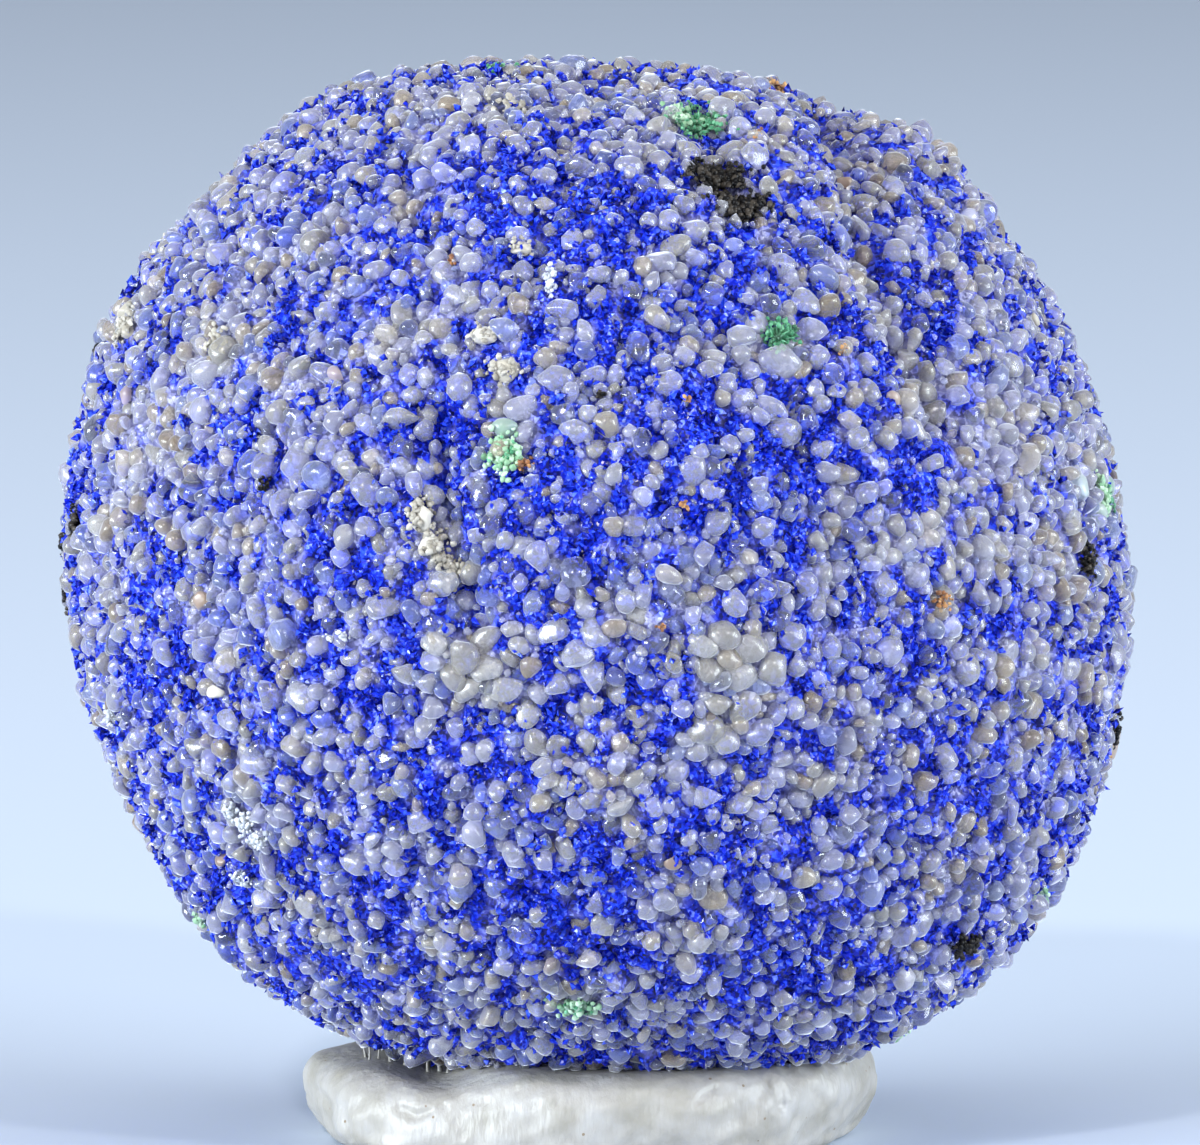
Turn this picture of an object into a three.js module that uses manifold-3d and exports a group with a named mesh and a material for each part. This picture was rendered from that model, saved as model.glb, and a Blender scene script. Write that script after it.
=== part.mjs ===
// An azurite concretion: one ball of rounded sand grains that azurite has cemented together, standing
// on the flat pad of white putty that keeps it from rolling. Millimetres, +Z up, the front faces -Y.
// The origin is on the pad's flat underside, straight below the centre of the ball.
import * as THREE from 'three';
import { mergeVertices } from 'three/addons/utils/BufferGeometryUtils.js';
import Module from 'manifold-3d';

const wasm = await Module();
wasm.setup();

// Driving dimensions of the ball
const BALL_RADIUS_X = 7.28;
const BALL_RADIUS_Y = 7.05;
const BALL_RADIUS_Z = 7.26;
const BALL_CENTRE_Z = 8.06;
const BALL_DIVISIONS = 18; // how often each edge of the icosahedron is divided
const GRAIN_SIZE = 0.35; // a usual sand grain, across
const TOP_RISE = 0.35 * GRAIN_SIZE; // how far a lump of grains stands above the mean surface
const DIP = 0.28 * GRAIN_SIZE; // how far the cement between lumps lies below it
const UNEVEN = 0.12 * GRAIN_SIZE; // how much the rises and dips differ among themselves
const SHUFFLE = 0.2 * GRAIN_SIZE; // how far a corner of the surface strays sideways

// Driving dimensions of the putty pad
const PAD_WIDTH = 7.9;
const PAD_DEPTH = 6.7;
const PAD_CENTRE_X = -0.13;
const PAD_HEIGHT = 1.34;
const PAD_FOOT_SHARE = 0.9; // width of the flat underside against the widest part
const PRESS_GAP = 0.1; // room between the ball and the dish that it has pressed
const PAD_STEPS = 44; // steps around its outline
// The rolled side, from the edge of the flat underside to the middle of the top, as shares of the
// pad's reach and height
const PAD_EDGE = [
  [PAD_FOOT_SHARE, 0],
  [0.97, 0.2],
  [1, 0.5],
  [0.985, 0.76],
  [0.93, 0.94],
  [0.84, 1],
  [0.62, 1],
  [0.34, 1],
];
// Rolls and dips of its top from left to right: where, how high and how wide
const PAD_ROLLS = [
  { name: 'low left end', x: -3.5, height: -0.1, spread: 0.7 },
  { name: 'slack dip that the ball has pulled away from', x: -2.1, height: -0.28, spread: 0.7 },
  { name: 'right end roll', x: 3.2, height: 0.08, spread: 0.9 },
];
// Ripples that the fingers left in its outline: how many there are around it, how deep, and where
// they start
const PAD_RIPPLES = [
  { turns: 5, depth: 0.025, start: 0.7 },
  { turns: 11, depth: 0.012, start: 0 },
];

// The ball's features are placed as they are seen from the front and a little above.
const VIEW_TILT = (6 * Math.PI) / 180;

// Broad swells and flats. x and z are measured from the centre of the ball in that view, spread is
// the distance over which a swell fades, and a flat has a negative height.
const SWELLS = [
  { name: 'left shoulder', x: -6.4, z: 3.6, height: 0.26, spread: 2.6 },
  { name: 'lower right flank', x: 5.0, z: -5.2, height: 0.54, spread: 3.6 },
  { name: 'lower left flank', x: -4.5, z: -5.6, height: 0.2, spread: 2.4 },
  { name: 'flat right side', x: 7.1, z: 2.0, height: -0.14, spread: 2.2 },
  { name: 'right lobe', x: 4.5, z: 5.6, height: 0.26, spread: 1.0 },
  { name: 'flat under the right lobe', x: 5.7, z: 4.4, height: -0.1, spread: 1.0 },
  { name: 'saddle left of the right lobe', x: 3.15, z: 6.4, height: -0.12, spread: 0.8 },
  { name: 'top left blister', x: -1.5, z: 5.2, height: 0.16, spread: 1.1 },
  { name: 'top middle blister', x: 0.5, z: 4.7, height: 0.15, spread: 1.0 },
  { name: 'top right blister', x: 2.4, z: 6.0, height: 0.18, spread: 1.1 },
  { name: 'left temple', x: -3.6, z: 5.0, height: 0.12, spread: 1.2 },
  { name: 'left brow', x: -5.5, z: 3.0, height: 0.1, spread: 1.3 },
  { name: 'left cheek', x: -3.6, z: 0.6, height: 0.14, spread: 1.5 },
  { name: 'middle dome', x: 0.9, z: 1.2, height: 0.16, spread: 1.6 },
  { name: 'right dome', x: 3.4, z: 1.6, height: 0.12, spread: 1.1 },
  { name: 'lower left dome', x: -3.4, z: -3.4, height: 0.16, spread: 2.0 },
  { name: 'lower dome', x: 1.3, z: -4.2, height: 0.2, spread: 1.9 },
  { name: 'flat crown', x: 0.4, z: 7.1, height: -0.56, spread: 3.0 },
  { name: 'crown rise, right', x: 1.6, z: 7.0, height: 0.16, spread: 0.7 },
  { name: 'dent in the crown', x: 0.0, z: 7.1, height: -0.12, spread: 0.45 },
  { name: 'upper left shoulder', x: -3.7, z: 6.3, height: 0.2, spread: 1.1 },
  { name: 'flat under the shoulder', x: -5.75, z: 4.8, height: -0.1, spread: 1.0 },
  { name: 'flat left side', x: -7.0, z: 2.5, height: -0.1, spread: 0.9 },
  { name: 'flat lower left', x: -6.6, z: -3.4, height: -0.1, spread: 1.3 },
  { name: 'flat foot', x: -0.6, z: -7.2, height: -0.16, spread: 3.0 },
];

// Shallow furrows between the swells, each a run of points on the front, with a last point on the
// back where a furrow runs on over the rim
const FURROWS = [
  {
    name: 'right lobe seam', depth: 0.42, width: 0.42,
    points: [[4.8, 2.0], [4.3, 3.0], [3.8, 4.1], [3.6, 5.2], [3.2, 6.3]], onBack: [2.4, 5.6],
  },
  {
    name: 'crown seam', depth: 0.16, width: 0.3,
    points: [[0.1, 6.9], [-1.2, 6.5], [-2.4, 6.0], [-2.6, 5.1], [-2.1, 4.3]],
  },
  { name: 'blister seam', depth: 0.14, width: 0.28, points: [[-0.6, 6.0], [-0.5, 4.9], [-0.9, 4.0]] },
  { name: 'brow seam', depth: 0.15, width: 0.3, points: [[1.4, 6.3], [1.8, 5.2], [2.3, 4.5]] },
  {
    name: 'cream crevice', depth: 0.3, width: 0.28,
    points: [[-2.2, 2.0], [-2.1, 0.8], [-1.9, -0.3], [-1.6, -0.9]],
  },
  {
    name: 'valley below the brow', depth: 0.18, width: 0.5,
    points: [[1.2, 3.4], [2.5, 2.4], [3.3, 0.9], [3.3, -0.8]],
  },
  {
    name: 'lower valley', depth: 0.16, width: 0.45,
    points: [[-1.7, -2.2], [0.0, -1.9], [1.4, -2.7], [3.2, -3.4]],
  },
];

// The back can't be seen in the photograph, so its swells are spread evenly by a formula.
const BACK_SWELLS = 26; // over the whole ball, of which only those on the back are used
const BACK_SWELL_HEIGHT = 0.22;
const BACK_SWELL_LOWEST = 0.3; // the lowest swell's share of that height
const BACK_SWELL_SPREAD = 1.4;
const BACK_STARTS = 0.1; // how far towards the back a direction points before it counts as the back

// Knots of big grains, and single ones, that stand well out of the front. Their middles lie a little
// above the mean surface, and each is squashed by its own amounts.
const PROUD_LIFT = 0.05; // share of a grain's size
const GRAIN_DEPTHS = [0.8, 1]; // narrowest and widest, against its length
const GRAIN_HEIGHTS = [0.65, 0.95];
const GRAIN_KNOTS = [
  { name: 'left milky knot', x: -1.6, z: -1.4, reach: 0.5, grains: 6, size: 0.5 },
  { name: 'right milky knot', x: 1.9, z: -1.3, reach: 0.55, grains: 6, size: 0.48 },
  { name: 'low milky knot', x: 0.1, z: -2.9, reach: 0.6, grains: 4, size: 0.45 },
  { name: 'dark knot', x: 1.85, z: 5.1, reach: 0.3, grains: 3, size: 0.45 },
  { name: 'tan grain left', x: -6.25, z: -3.6, reach: 0, grains: 1, size: 0.5 },
  { name: 'tan grain right', x: 7.05, z: -2.5, reach: 0, grains: 1, size: 0.55 },
  { name: 'rim grains, upper left', x: -4.4, z: 6.1, reach: 0.5, grains: 3, size: 0.45 },
  { name: 'rim grains, right', x: 7.4, z: -1.2, reach: 0.4, grains: 2, size: 0.45 },
];

const GOLDEN_ANGLE = Math.PI * (3 - Math.sqrt(5));
const SIDEWAYS = new THREE.Vector3(1, 0, 0);

// A repeatable stream of numbers from 0 to 1 (mulberry32)
function seeded(seed) {
  let state = seed;
  return () => {
    state = (state + 0x6d2b79f5) | 0;
    let mixed = Math.imul(state ^ (state >>> 15), 1 | state);
    mixed = (mixed + Math.imul(mixed ^ (mixed >>> 7), 61 | mixed)) ^ mixed;
    return ((mixed ^ (mixed >>> 14)) >>> 0) / 4294967296;
  };
}

// The direction from the ball's centre to the spot seen at x and z on its front or rim, or, with
// onBack, to the spot straight behind it
function seenDirection(x, z, onBack = false) {
  const across = x / BALL_RADIUS_X;
  const up = z / BALL_RADIUS_Z;
  const toFront = Math.sqrt(Math.max(0, 1 - across * across - up * up));
  const level = new THREE.Vector3(across, onBack ? toFront : -toFront, up);
  return level.normalize().applyAxisAngle(SIDEWAYS, -VIEW_TILT);
}

// Direction number i of count, spread evenly over a sphere along a spiral
function evenDirection(i, count) {
  const up = 1 - (2 * i + 1) / count;
  const out = Math.sqrt(1 - up * up);
  const turn = i * GOLDEN_ANGLE;
  return new THREE.Vector3(out * Math.cos(turn), out * Math.sin(turn), up);
}

const swells = SWELLS.map(({ x, z, height, spread }) => ({ at: seenDirection(x, z), height, spread }));
const backHeights = seeded(11);
for (let i = 0; i < BACK_SWELLS; i++) {
  const at = evenDirection(i, BACK_SWELLS);
  const height = BACK_SWELL_HEIGHT * (BACK_SWELL_LOWEST + (1 - BACK_SWELL_LOWEST) * backHeights());
  if (at.y > BACK_STARTS) swells.push({ at, height, spread: BACK_SWELL_SPREAD });
}

const furrows = FURROWS.map(({ depth, width, points, onBack }) => {
  const run = points.map(([x, z]) => seenDirection(x, z));
  if (onBack) run.push(seenDirection(...onBack, true));
  const spots = run.map((direction) => direction.multiplyScalar(BALL_RADIUS_X));
  const pieces = spots.slice(1).map((end, i) => new THREE.Line3(spots[i], end));
  return { depth, width, pieces };
});

const fade = (distance, reach) => Math.exp(-((distance / reach) ** 2));

// Distance from the ball's centre to its surface, before the grains roughen it
function surfaceRadius(direction) {
  const { x, y, z } = direction;
  const ellipsoid = 1 / Math.hypot(x / BALL_RADIUS_X, y / BALL_RADIUS_Y, z / BALL_RADIUS_Z);
  let radius = ellipsoid;
  for (const { at, height, spread } of swells) {
    radius += height * fade(direction.distanceTo(at) * BALL_RADIUS_X, spread);
  }
  const spot = direction.clone().multiplyScalar(BALL_RADIUS_X);
  const nearest = new THREE.Vector3();
  for (const { depth, width, pieces } of furrows) {
    const away = pieces.map((piece) => piece.closestPointToPoint(spot, true, nearest).distanceTo(spot));
    radius -= depth * fade(Math.min(...away), width);
  }
  return radius;
}

function solidOf(geometry) {
  const bare = geometry.clone();
  bare.deleteAttribute('normal');
  bare.deleteAttribute('uv');
  const merged = mergeVertices(bare, 1e-5);
  const vertProperties = new Float32Array(merged.attributes.position.array);
  const triVerts = new Uint32Array(merged.index.array);
  return new wasm.Manifold(new wasm.Mesh({ numProp: 3, vertProperties, triVerts }));
}

function geometryOf(solid) {
  const { vertProperties, triVerts } = solid.getMesh();
  const geometry = new THREE.BufferGeometry();
  geometry.setAttribute('position', new THREE.BufferAttribute(vertProperties, 3));
  geometry.setIndex(new THREE.BufferAttribute(triVerts, 1));
  const flat = geometry.toNonIndexed();
  flat.computeVertexNormals();
  return flat;
}

// The corners that stand for lumps of grains: picked in a random order, as many as fit with no two
// of them side by side
function lumpCorners(body, random) {
  const beside = Array.from({ length: body.attributes.position.count }, () => new Set());
  const face = body.index.array;
  for (let i = 0; i < face.length; i += 3) {
    for (const [a, b] of [[0, 1], [1, 2], [2, 0]]) {
      beside[face[i + a]].add(face[i + b]);
      beside[face[i + b]].add(face[i + a]);
    }
  }
  const drawn = beside.map((_, corner) => ({ corner, turn: random() })).sort((a, b) => a.turn - b.turn);
  const lumps = new Set();
  for (const { corner } of drawn) {
    if (![...beside[corner]].some((other) => lumps.has(other))) lumps.add(corner);
  }
  return lumps;
}

// The cemented body: the corners of a fine icosahedron are pushed out to the surface, the lumps
// above it and the corners between them below it, so that it reads as packed and cemented sand.
function grainyBody() {
  const sphere = new THREE.IcosahedronGeometry(1, BALL_DIVISIONS);
  sphere.deleteAttribute('normal');
  sphere.deleteAttribute('uv');
  const body = mergeVertices(sphere, 1e-4);
  const corners = body.attributes.position;
  const random = seeded(3);
  const stray = () => (random() - 0.5) * 2;
  const lumps = lumpCorners(body, random);
  for (let i = 0; i < corners.count; i++) {
    const direction = new THREE.Vector3().fromBufferAttribute(corners, i);
    const sideways = new THREE.Vector3(stray(), stray(), stray()).multiplyScalar(SHUFFLE / BALL_RADIUS_X);
    direction.add(sideways).normalize();
    const rise = (lumps.has(i) ? TOP_RISE : -DIP) + stray() * UNEVEN;
    corners.setXYZ(i, ...direction.multiplyScalar(surfaceRadius(direction) + rise).toArray());
  }
  return body;
}

// One rounded grain, squashed and turned at random, with about half of it above the surface
function proudGrain(direction, size, random) {
  const grain = new THREE.IcosahedronGeometry(size / 2, 0);
  const squash = [GRAIN_DEPTHS, GRAIN_HEIGHTS].map(([least, most]) => least + (most - least) * random());
  grain.scale(1, ...squash);
  const turn = new THREE.Euler(...[random(), random(), random()].map((share) => share * 2 * Math.PI));
  grain.applyQuaternion(new THREE.Quaternion().setFromEuler(turn));
  const centre = direction.clone().multiplyScalar(surfaceRadius(direction) + PROUD_LIFT * size);
  grain.translate(...centre.toArray());
  return grain;
}

function proudGrains() {
  const random = seeded(5);
  const grains = [];
  for (const knot of GRAIN_KNOTS) {
    for (let i = 0; i < knot.grains; i++) {
      const turn = i * GOLDEN_ANGLE;
      const out = knot.reach * Math.sqrt(i / knot.grains);
      const direction = seenDirection(knot.x + out * Math.cos(turn), knot.z + out * Math.sin(turn));
      grains.push(proudGrain(direction, knot.size, random));
    }
  }
  return grains;
}

function concretionSolid() {
  let solid = solidOf(grainyBody());
  for (const grain of proudGrains()) solid = solid.add(solidOf(grain));
  return solid.translate(0, 0, BALL_CENTRE_Z);
}

// Height of the putty's top at x, before the ball is pressed in
function padTop(x) {
  return PAD_ROLLS.reduce((height, roll) => height + roll.height * fade(x - roll.x, roll.spread), PAD_HEIGHT);
}

// How far the pad's outline stands out of its mean oval at a turn around it
function padRipple(turn) {
  const ripples = PAD_RIPPLES.map(({ turns, depth, start }) => depth * Math.sin(turns * turn + start));
  return ripples.reduce((total, ripple) => total + ripple, 1);
}

// The pad is a closed sheet of rings, from the flat underside around the rolled side to the middle
// of the top.
function padBody() {
  const corners = [0, 0, 0];
  for (const [reach, rise] of PAD_EDGE) {
    for (let i = 0; i < PAD_STEPS; i++) {
      const turn = (2 * Math.PI * i) / PAD_STEPS;
      const x = (PAD_WIDTH / 2) * reach * padRipple(turn) * Math.cos(turn);
      const y = (PAD_DEPTH / 2) * reach * padRipple(turn) * Math.sin(turn);
      corners.push(x, y, rise * padTop(x));
    }
  }
  corners.push(0, 0, padTop(0));
  const faces = [];
  const corner = (ring, i) => 1 + ring * PAD_STEPS + (i % PAD_STEPS);
  const lastRing = PAD_EDGE.length - 1;
  const topMiddle = 1 + PAD_EDGE.length * PAD_STEPS;
  for (let i = 0; i < PAD_STEPS; i++) {
    faces.push(0, corner(0, i + 1), corner(0, i));
    faces.push(topMiddle, corner(lastRing, i), corner(lastRing, i + 1));
    for (let ring = 0; ring < lastRing; ring++) {
      faces.push(corner(ring, i), corner(ring, i + 1), corner(ring + 1, i + 1));
      faces.push(corner(ring, i), corner(ring + 1, i + 1), corner(ring + 1, i));
    }
  }
  const geometry = new THREE.BufferGeometry();
  geometry.setAttribute('position', new THREE.Float32BufferAttribute(corners, 3));
  geometry.setIndex(faces);
  return geometry.translate(PAD_CENTRE_X, 0, 0);
}

// The ball's own surface, grown by the gap, presses the dish into the pad.
function puttySolid(ball) {
  const growth = (BALL_RADIUS_Z + PRESS_GAP) / BALL_RADIUS_Z;
  const stamp = ball
    .translate(0, 0, -BALL_CENTRE_Z)
    .scale([growth, growth, growth])
    .translate(0, 0, BALL_CENTRE_Z);
  return solidOf(padBody()).subtract(stamp);
}

const azuriteBlue = new THREE.MeshStandardMaterial({ color: 0x5863cf, roughness: 0.5, metalness: 0 });
const puttyWhite = new THREE.MeshStandardMaterial({ color: 0xe3dfd6, roughness: 0.4, metalness: 0 });

const ballSolid = concretionSolid();

const concretion = new THREE.Mesh(geometryOf(ballSolid), azuriteBlue);
concretion.name = 'concretion';

const mountingPutty = new THREE.Mesh(geometryOf(puttySolid(ballSolid)), puttyWhite);
mountingPutty.name = 'mounting_putty';

const specimen = new THREE.Group();
specimen.add(concretion, mountingPutty);

export default specimen;
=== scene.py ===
# %% [markdown]
# # An azurite concretion, grain by grain
# The object is a ball of sand, about 15 mm across, that azurite has cemented together in the
# ground. Thousands of worn quartz grains stand out of a crust of tiny deep blue crystals, with a few
# specks of green malachite and black oxide, and the ball rests on a pad of white mounting putty.
# A ball like this could be painted with one noise texture, but the eye reads it as sand only when each
# grain has its own outline, highlight and shadow. So here every grain is real mesh, and textures only
# add what is too small to model. Sizes are in metres, so a millimetre gets a name of its own.

# %% Load the model that everything is built around
import math

import bpy
import numpy as np
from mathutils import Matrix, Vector


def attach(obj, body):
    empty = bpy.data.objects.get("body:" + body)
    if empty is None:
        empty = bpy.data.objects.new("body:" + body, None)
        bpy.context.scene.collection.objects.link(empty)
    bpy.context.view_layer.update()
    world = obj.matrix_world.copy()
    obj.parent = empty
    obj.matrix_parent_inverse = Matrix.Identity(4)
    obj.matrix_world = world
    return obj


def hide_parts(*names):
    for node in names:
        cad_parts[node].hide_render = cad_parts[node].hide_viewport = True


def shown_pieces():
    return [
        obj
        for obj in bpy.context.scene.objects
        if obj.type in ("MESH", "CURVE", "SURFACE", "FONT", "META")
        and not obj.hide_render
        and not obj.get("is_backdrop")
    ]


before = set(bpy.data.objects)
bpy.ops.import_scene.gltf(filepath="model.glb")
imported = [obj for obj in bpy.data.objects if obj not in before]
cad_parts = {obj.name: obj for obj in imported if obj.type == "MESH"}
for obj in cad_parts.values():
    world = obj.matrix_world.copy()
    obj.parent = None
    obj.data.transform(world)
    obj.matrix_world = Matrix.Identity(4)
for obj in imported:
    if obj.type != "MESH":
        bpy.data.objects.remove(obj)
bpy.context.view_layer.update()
MM = 0.001

# %% [markdown]
# ## The camera
# The photograph was taken with a long macro lens, a little above the ball's middle, so that its
# outline is nearly that of a parallel projection. A camera that looks down by six degrees from 180 mm
# away, with its lens worked out from the width that the picture covers, frames the ball in the same
# way. The same numbers turn a pixel of the photograph into a place on the ball later on.

# %% Place the camera
PHOTO_WIDTH, PHOTO_HEIGHT = 1200, 1145
PIXEL = MM / 71.9  # what one pixel of the photograph covers at the ball
BALL_MIDDLE_PIXEL = (597.5, 562.5)
BALL_CENTRE = Vector((0, 0, 8.06 * MM))
VIEW_DOWN = math.radians(6)
CAMERA_DISTANCE = 180 * MM
TO_CAMERA = Vector((0, -math.cos(VIEW_DOWN), math.sin(VIEW_DOWN)))
PICTURE_UP = Vector((0, math.sin(VIEW_DOWN), math.cos(VIEW_DOWN)))
PICTURE_RIGHT = Vector((1, 0, 0))

scene = bpy.context.scene
camera = bpy.data.objects.new("camera", bpy.data.cameras.new("camera"))
scene.collection.objects.link(camera)
picture_middle = (
    BALL_CENTRE
    + PICTURE_RIGHT * (PHOTO_WIDTH / 2 - BALL_MIDDLE_PIXEL[0]) * PIXEL
    - PICTURE_UP * (PHOTO_HEIGHT / 2 - BALL_MIDDLE_PIXEL[1]) * PIXEL
)
camera.location = picture_middle + TO_CAMERA * CAMERA_DISTANCE
camera.rotation_euler = TO_CAMERA.to_track_quat("Z", "Y").to_euler()
camera.data.sensor_fit = "HORIZONTAL"
camera.data.lens = camera.data.sensor_width * CAMERA_DISTANCE / (PHOTO_WIDTH * PIXEL)
camera.data.clip_start, camera.data.clip_end = 1 * MM, 10
scene.camera = camera
print(f"lens {camera.data.lens:.0f} mm, {CAMERA_DISTANCE / MM:.0f} mm from the ball")

# %% [markdown]
# ## The floor and the light
# The stage is as plain as it can be: one wide pale floor and a pale sky. Two soft lights stand left and
# right, a little behind the ball's shoulders, because the real stone is brightest at its two sides and
# its middle is deeper blue. A soft light from above and a weak one from the front open the shadows.
# Large lights alone would make the grains look like wax, so a small bright one adds the pin-point
# glints that wet-looking quartz has.

# %% Lay the floor and hang the lights
scene.view_settings.view_transform = "Standard"
scene.view_settings.look = "None"

FLOOR_HALF = 3.0
floor_mesh = bpy.data.meshes.new("floor")
floor_mesh.from_pydata(
    [(FLOOR_HALF * x, FLOOR_HALF * y, 0) for x, y in ((-1, -1), (1, -1), (1, 1), (-1, 1))],
    [], [(0, 1, 2, 3)])
floor = bpy.data.objects.new("floor", floor_mesh)
scene.collection.objects.link(floor)
paper = bpy.data.materials.new("pale floor")
paper.use_nodes = True
paper.node_tree.nodes["Principled BSDF"].inputs["Base Color"].default_value = (0.55, 0.63, 0.76, 1)
paper.node_tree.nodes["Principled BSDF"].inputs["Roughness"].default_value = 0.85
floor_mesh.materials.append(paper)
floor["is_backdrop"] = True

world = bpy.data.worlds.new("pale sky")
world.use_nodes = True
world.node_tree.nodes["Background"].inputs["Color"].default_value = (0.82, 0.89, 1.0, 1)
world.node_tree.nodes["Background"].inputs["Strength"].default_value = 0.36
scene.world = world

COOL, NEUTRAL = (0.85, 0.94, 1.0), (1.0, 0.97, 0.95)
LIGHTS = {
    "left light": {"place": (-300, -150, 10), "size": 240, "watts": 4.6, "colour": COOL},
    "right light": {"place": (310, -100, 60), "size": 240, "watts": 2.3, "colour": COOL},
    "top light": {"place": (0, 40, 360), "size": 260, "watts": 0.25, "colour": NEUTRAL},
    "front light": {"place": (20, -360, 10), "size": 200, "watts": 0.1, "colour": NEUTRAL},
    "left glint": {"place": (-110, -270, 230), "size": 22, "watts": 0.4, "colour": NEUTRAL},
    "right glint": {"place": (170, -260, 190), "size": 22, "watts": 0.3, "colour": NEUTRAL},
}
for name, spec in LIGHTS.items():
    lamp = bpy.data.lights.new(name, "AREA")
    lamp.size = spec["size"] * MM
    lamp.energy = spec["watts"]
    lamp.color = spec["colour"]
    holder = bpy.data.objects.new(name, lamp)
    holder.location = Vector(spec["place"]) * MM
    holder.rotation_euler = (holder.location - BALL_CENTRE).to_track_quat("Z", "Y").to_euler()
    scene.collection.objects.link(holder)
print(len(LIGHTS), "lights and a floor of", 2 * FLOOR_HALF, "m")

# %% [markdown]
# ## The ball's own shape
# The concretion isn't a true sphere. It has a flattened crown, a heavy lower right flank, a separate
# lobe at its upper right behind a seam, and many low swells with furrows between them. A sculpted mesh
# could hold that, but a formula is easier to share between the crust and the grains, which must all sit
# on the same surface. It is an ellipsoid, plus soft bumps, minus soft furrows, worked out for a whole
# array of directions at once.

# %% Describe the swells and furrows
RADII = np.array([7.28, 7.05, 7.26]) * MM
SWELLS = [  # x and z from the ball's middle as seen from the front, height, spread, all in mm
    (-6.4, 3.6, 0.26, 2.6), (5.0, -5.2, 0.54, 3.6), (-4.5, -5.6, 0.2, 2.4), (7.1, 2.0, -0.14, 2.2),
    (4.5, 5.6, 0.26, 1.0), (5.7, 4.4, -0.1, 1.0), (3.15, 6.4, -0.12, 0.8), (-1.5, 5.2, 0.16, 1.1),
    (0.5, 4.7, 0.15, 1.0), (2.4, 6.0, 0.18, 1.1), (-3.6, 5.0, 0.12, 1.2), (-5.5, 3.0, 0.1, 1.3),
    (-3.6, 0.6, 0.14, 1.5), (0.9, 1.2, 0.16, 1.6), (3.4, 1.6, 0.12, 1.1), (-3.4, -3.4, 0.16, 2.0),
    (1.3, -4.2, 0.2, 1.9), (0.4, 7.1, -0.56, 3.0), (1.6, 7.0, 0.16, 0.7), (0.0, 7.1, -0.12, 0.45),
    (-3.7, 6.3, 0.2, 1.1), (-5.75, 4.8, -0.1, 1.0), (-7.0, 2.5, -0.1, 0.9), (-6.6, -3.4, -0.1, 1.3),
    (-0.6, -7.2, -0.16, 3.0),
]
FURROWS = [  # depth, width and the points of its run, all in mm, and a last point over the rim
    (0.42, 0.42, [(4.8, 2.0), (4.3, 3.0), (3.8, 4.1), (3.6, 5.2), (3.2, 6.3)], (2.4, 5.6)),
    (0.16, 0.3, [(0.1, 6.9), (-1.2, 6.5), (-2.4, 6.0), (-2.6, 5.1), (-2.1, 4.3)], None),
    (0.14, 0.28, [(-0.6, 6.0), (-0.5, 4.9), (-0.9, 4.0)], None),
    (0.15, 0.3, [(1.4, 6.3), (1.8, 5.2), (2.3, 4.5)], None),
    (0.3, 0.28, [(-2.2, 2.0), (-2.1, 0.8), (-1.9, -0.3), (-1.6, -0.9)], None),
    (0.18, 0.5, [(1.2, 3.4), (2.5, 2.4), (3.3, 0.9), (3.3, -0.8)], None),
    (0.16, 0.45, [(-1.7, -2.2), (0.0, -1.9), (1.4, -2.7), (3.2, -3.4)], None),
]
BACK_SWELLS, BACK_SWELL_HEIGHT, BACK_SWELL_SPREAD = 26, 0.22 * MM, 1.4 * MM
GOLDEN_ANGLE = math.pi * (3 - math.sqrt(5))


def unit(vectors):
    """The same directions with a length of one."""
    vectors = np.asarray(vectors, float)
    return vectors / np.linalg.norm(vectors, axis=-1, keepdims=True)


def seen_direction(x, z, behind=False):
    """From the ball's centre to the spot seen at x and z mm on its front, or straight behind it."""
    across, up = x * MM / RADII[0], z * MM / RADII[2]
    depth = math.sqrt(max(0.0, 1 - across**2 - up**2))
    towards = Vector((across, -depth if behind else depth, up)).normalized()
    return np.array(PICTURE_RIGHT * towards.x + TO_CAMERA * towards.y + PICTURE_UP * towards.z)


def even_directions(count):
    """Directions spread evenly over a sphere along a spiral."""
    up = 1 - (2 * np.arange(count) + 1) / count
    turn = np.arange(count) * GOLDEN_ANGLE
    out = np.sqrt(1 - up**2)
    return np.stack([out * np.cos(turn), out * np.sin(turn), up], axis=1)


def mixed_stream(seed):
    """The repeatable stream of numbers from 0 to 1 that the solid model also uses."""
    state = seed
    while True:
        state = (state + 0x6D2B79F5) & 0xFFFFFFFF
        mixed = ((state ^ (state >> 15)) * (1 | state)) & 0xFFFFFFFF
        mixed = ((mixed + (((mixed ^ (mixed >> 7)) * (61 | mixed)) & 0xFFFFFFFF)) & 0xFFFFFFFF) ^ mixed
        yield (mixed ^ (mixed >> 14)) / 4294967296


# %% [markdown]
# The swells on the back come from an even spiral of places and a fixed stream of numbers, the same as in
# the solid model, so that both have one shape. A bump fades with distance like a bell. A furrow does so
# from a run of straight pieces, which is simpler than a curve and looks no different at this size.

# %% Turn them into one surface
swells = [(seen_direction(x, z), height * MM, spread * MM) for x, z, height, spread in SWELLS]
heights = mixed_stream(11)
for at in even_directions(BACK_SWELLS):
    height = BACK_SWELL_HEIGHT * (0.3 + 0.7 * next(heights))
    if at[1] > 0.1:
        swells.append((at, height, BACK_SWELL_SPREAD))

furrows = []
for depth, width, points, behind in FURROWS:
    run = [seen_direction(x, z) for x, z in points]
    if behind:
        run.append(seen_direction(*behind, behind=True))
    furrows.append((depth * MM, width * MM, np.array(run) * RADII[0]))


def fade(distance, reach):
    """One at distance 0, and almost nothing past twice the reach."""
    return np.exp(-((distance / reach) ** 2))


def distance_to_run(points, run):
    """How far each point is from the nearest place on a run of straight pieces."""
    nearest = np.full(len(points), np.inf)
    for start, end in zip(run[:-1], run[1:]):
        along = end - start
        share = np.clip((points - start) @ along / (along @ along), 0, 1)
        nearest = np.minimum(nearest, np.linalg.norm(points - start - share[:, None] * along, axis=1))
    return nearest


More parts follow.
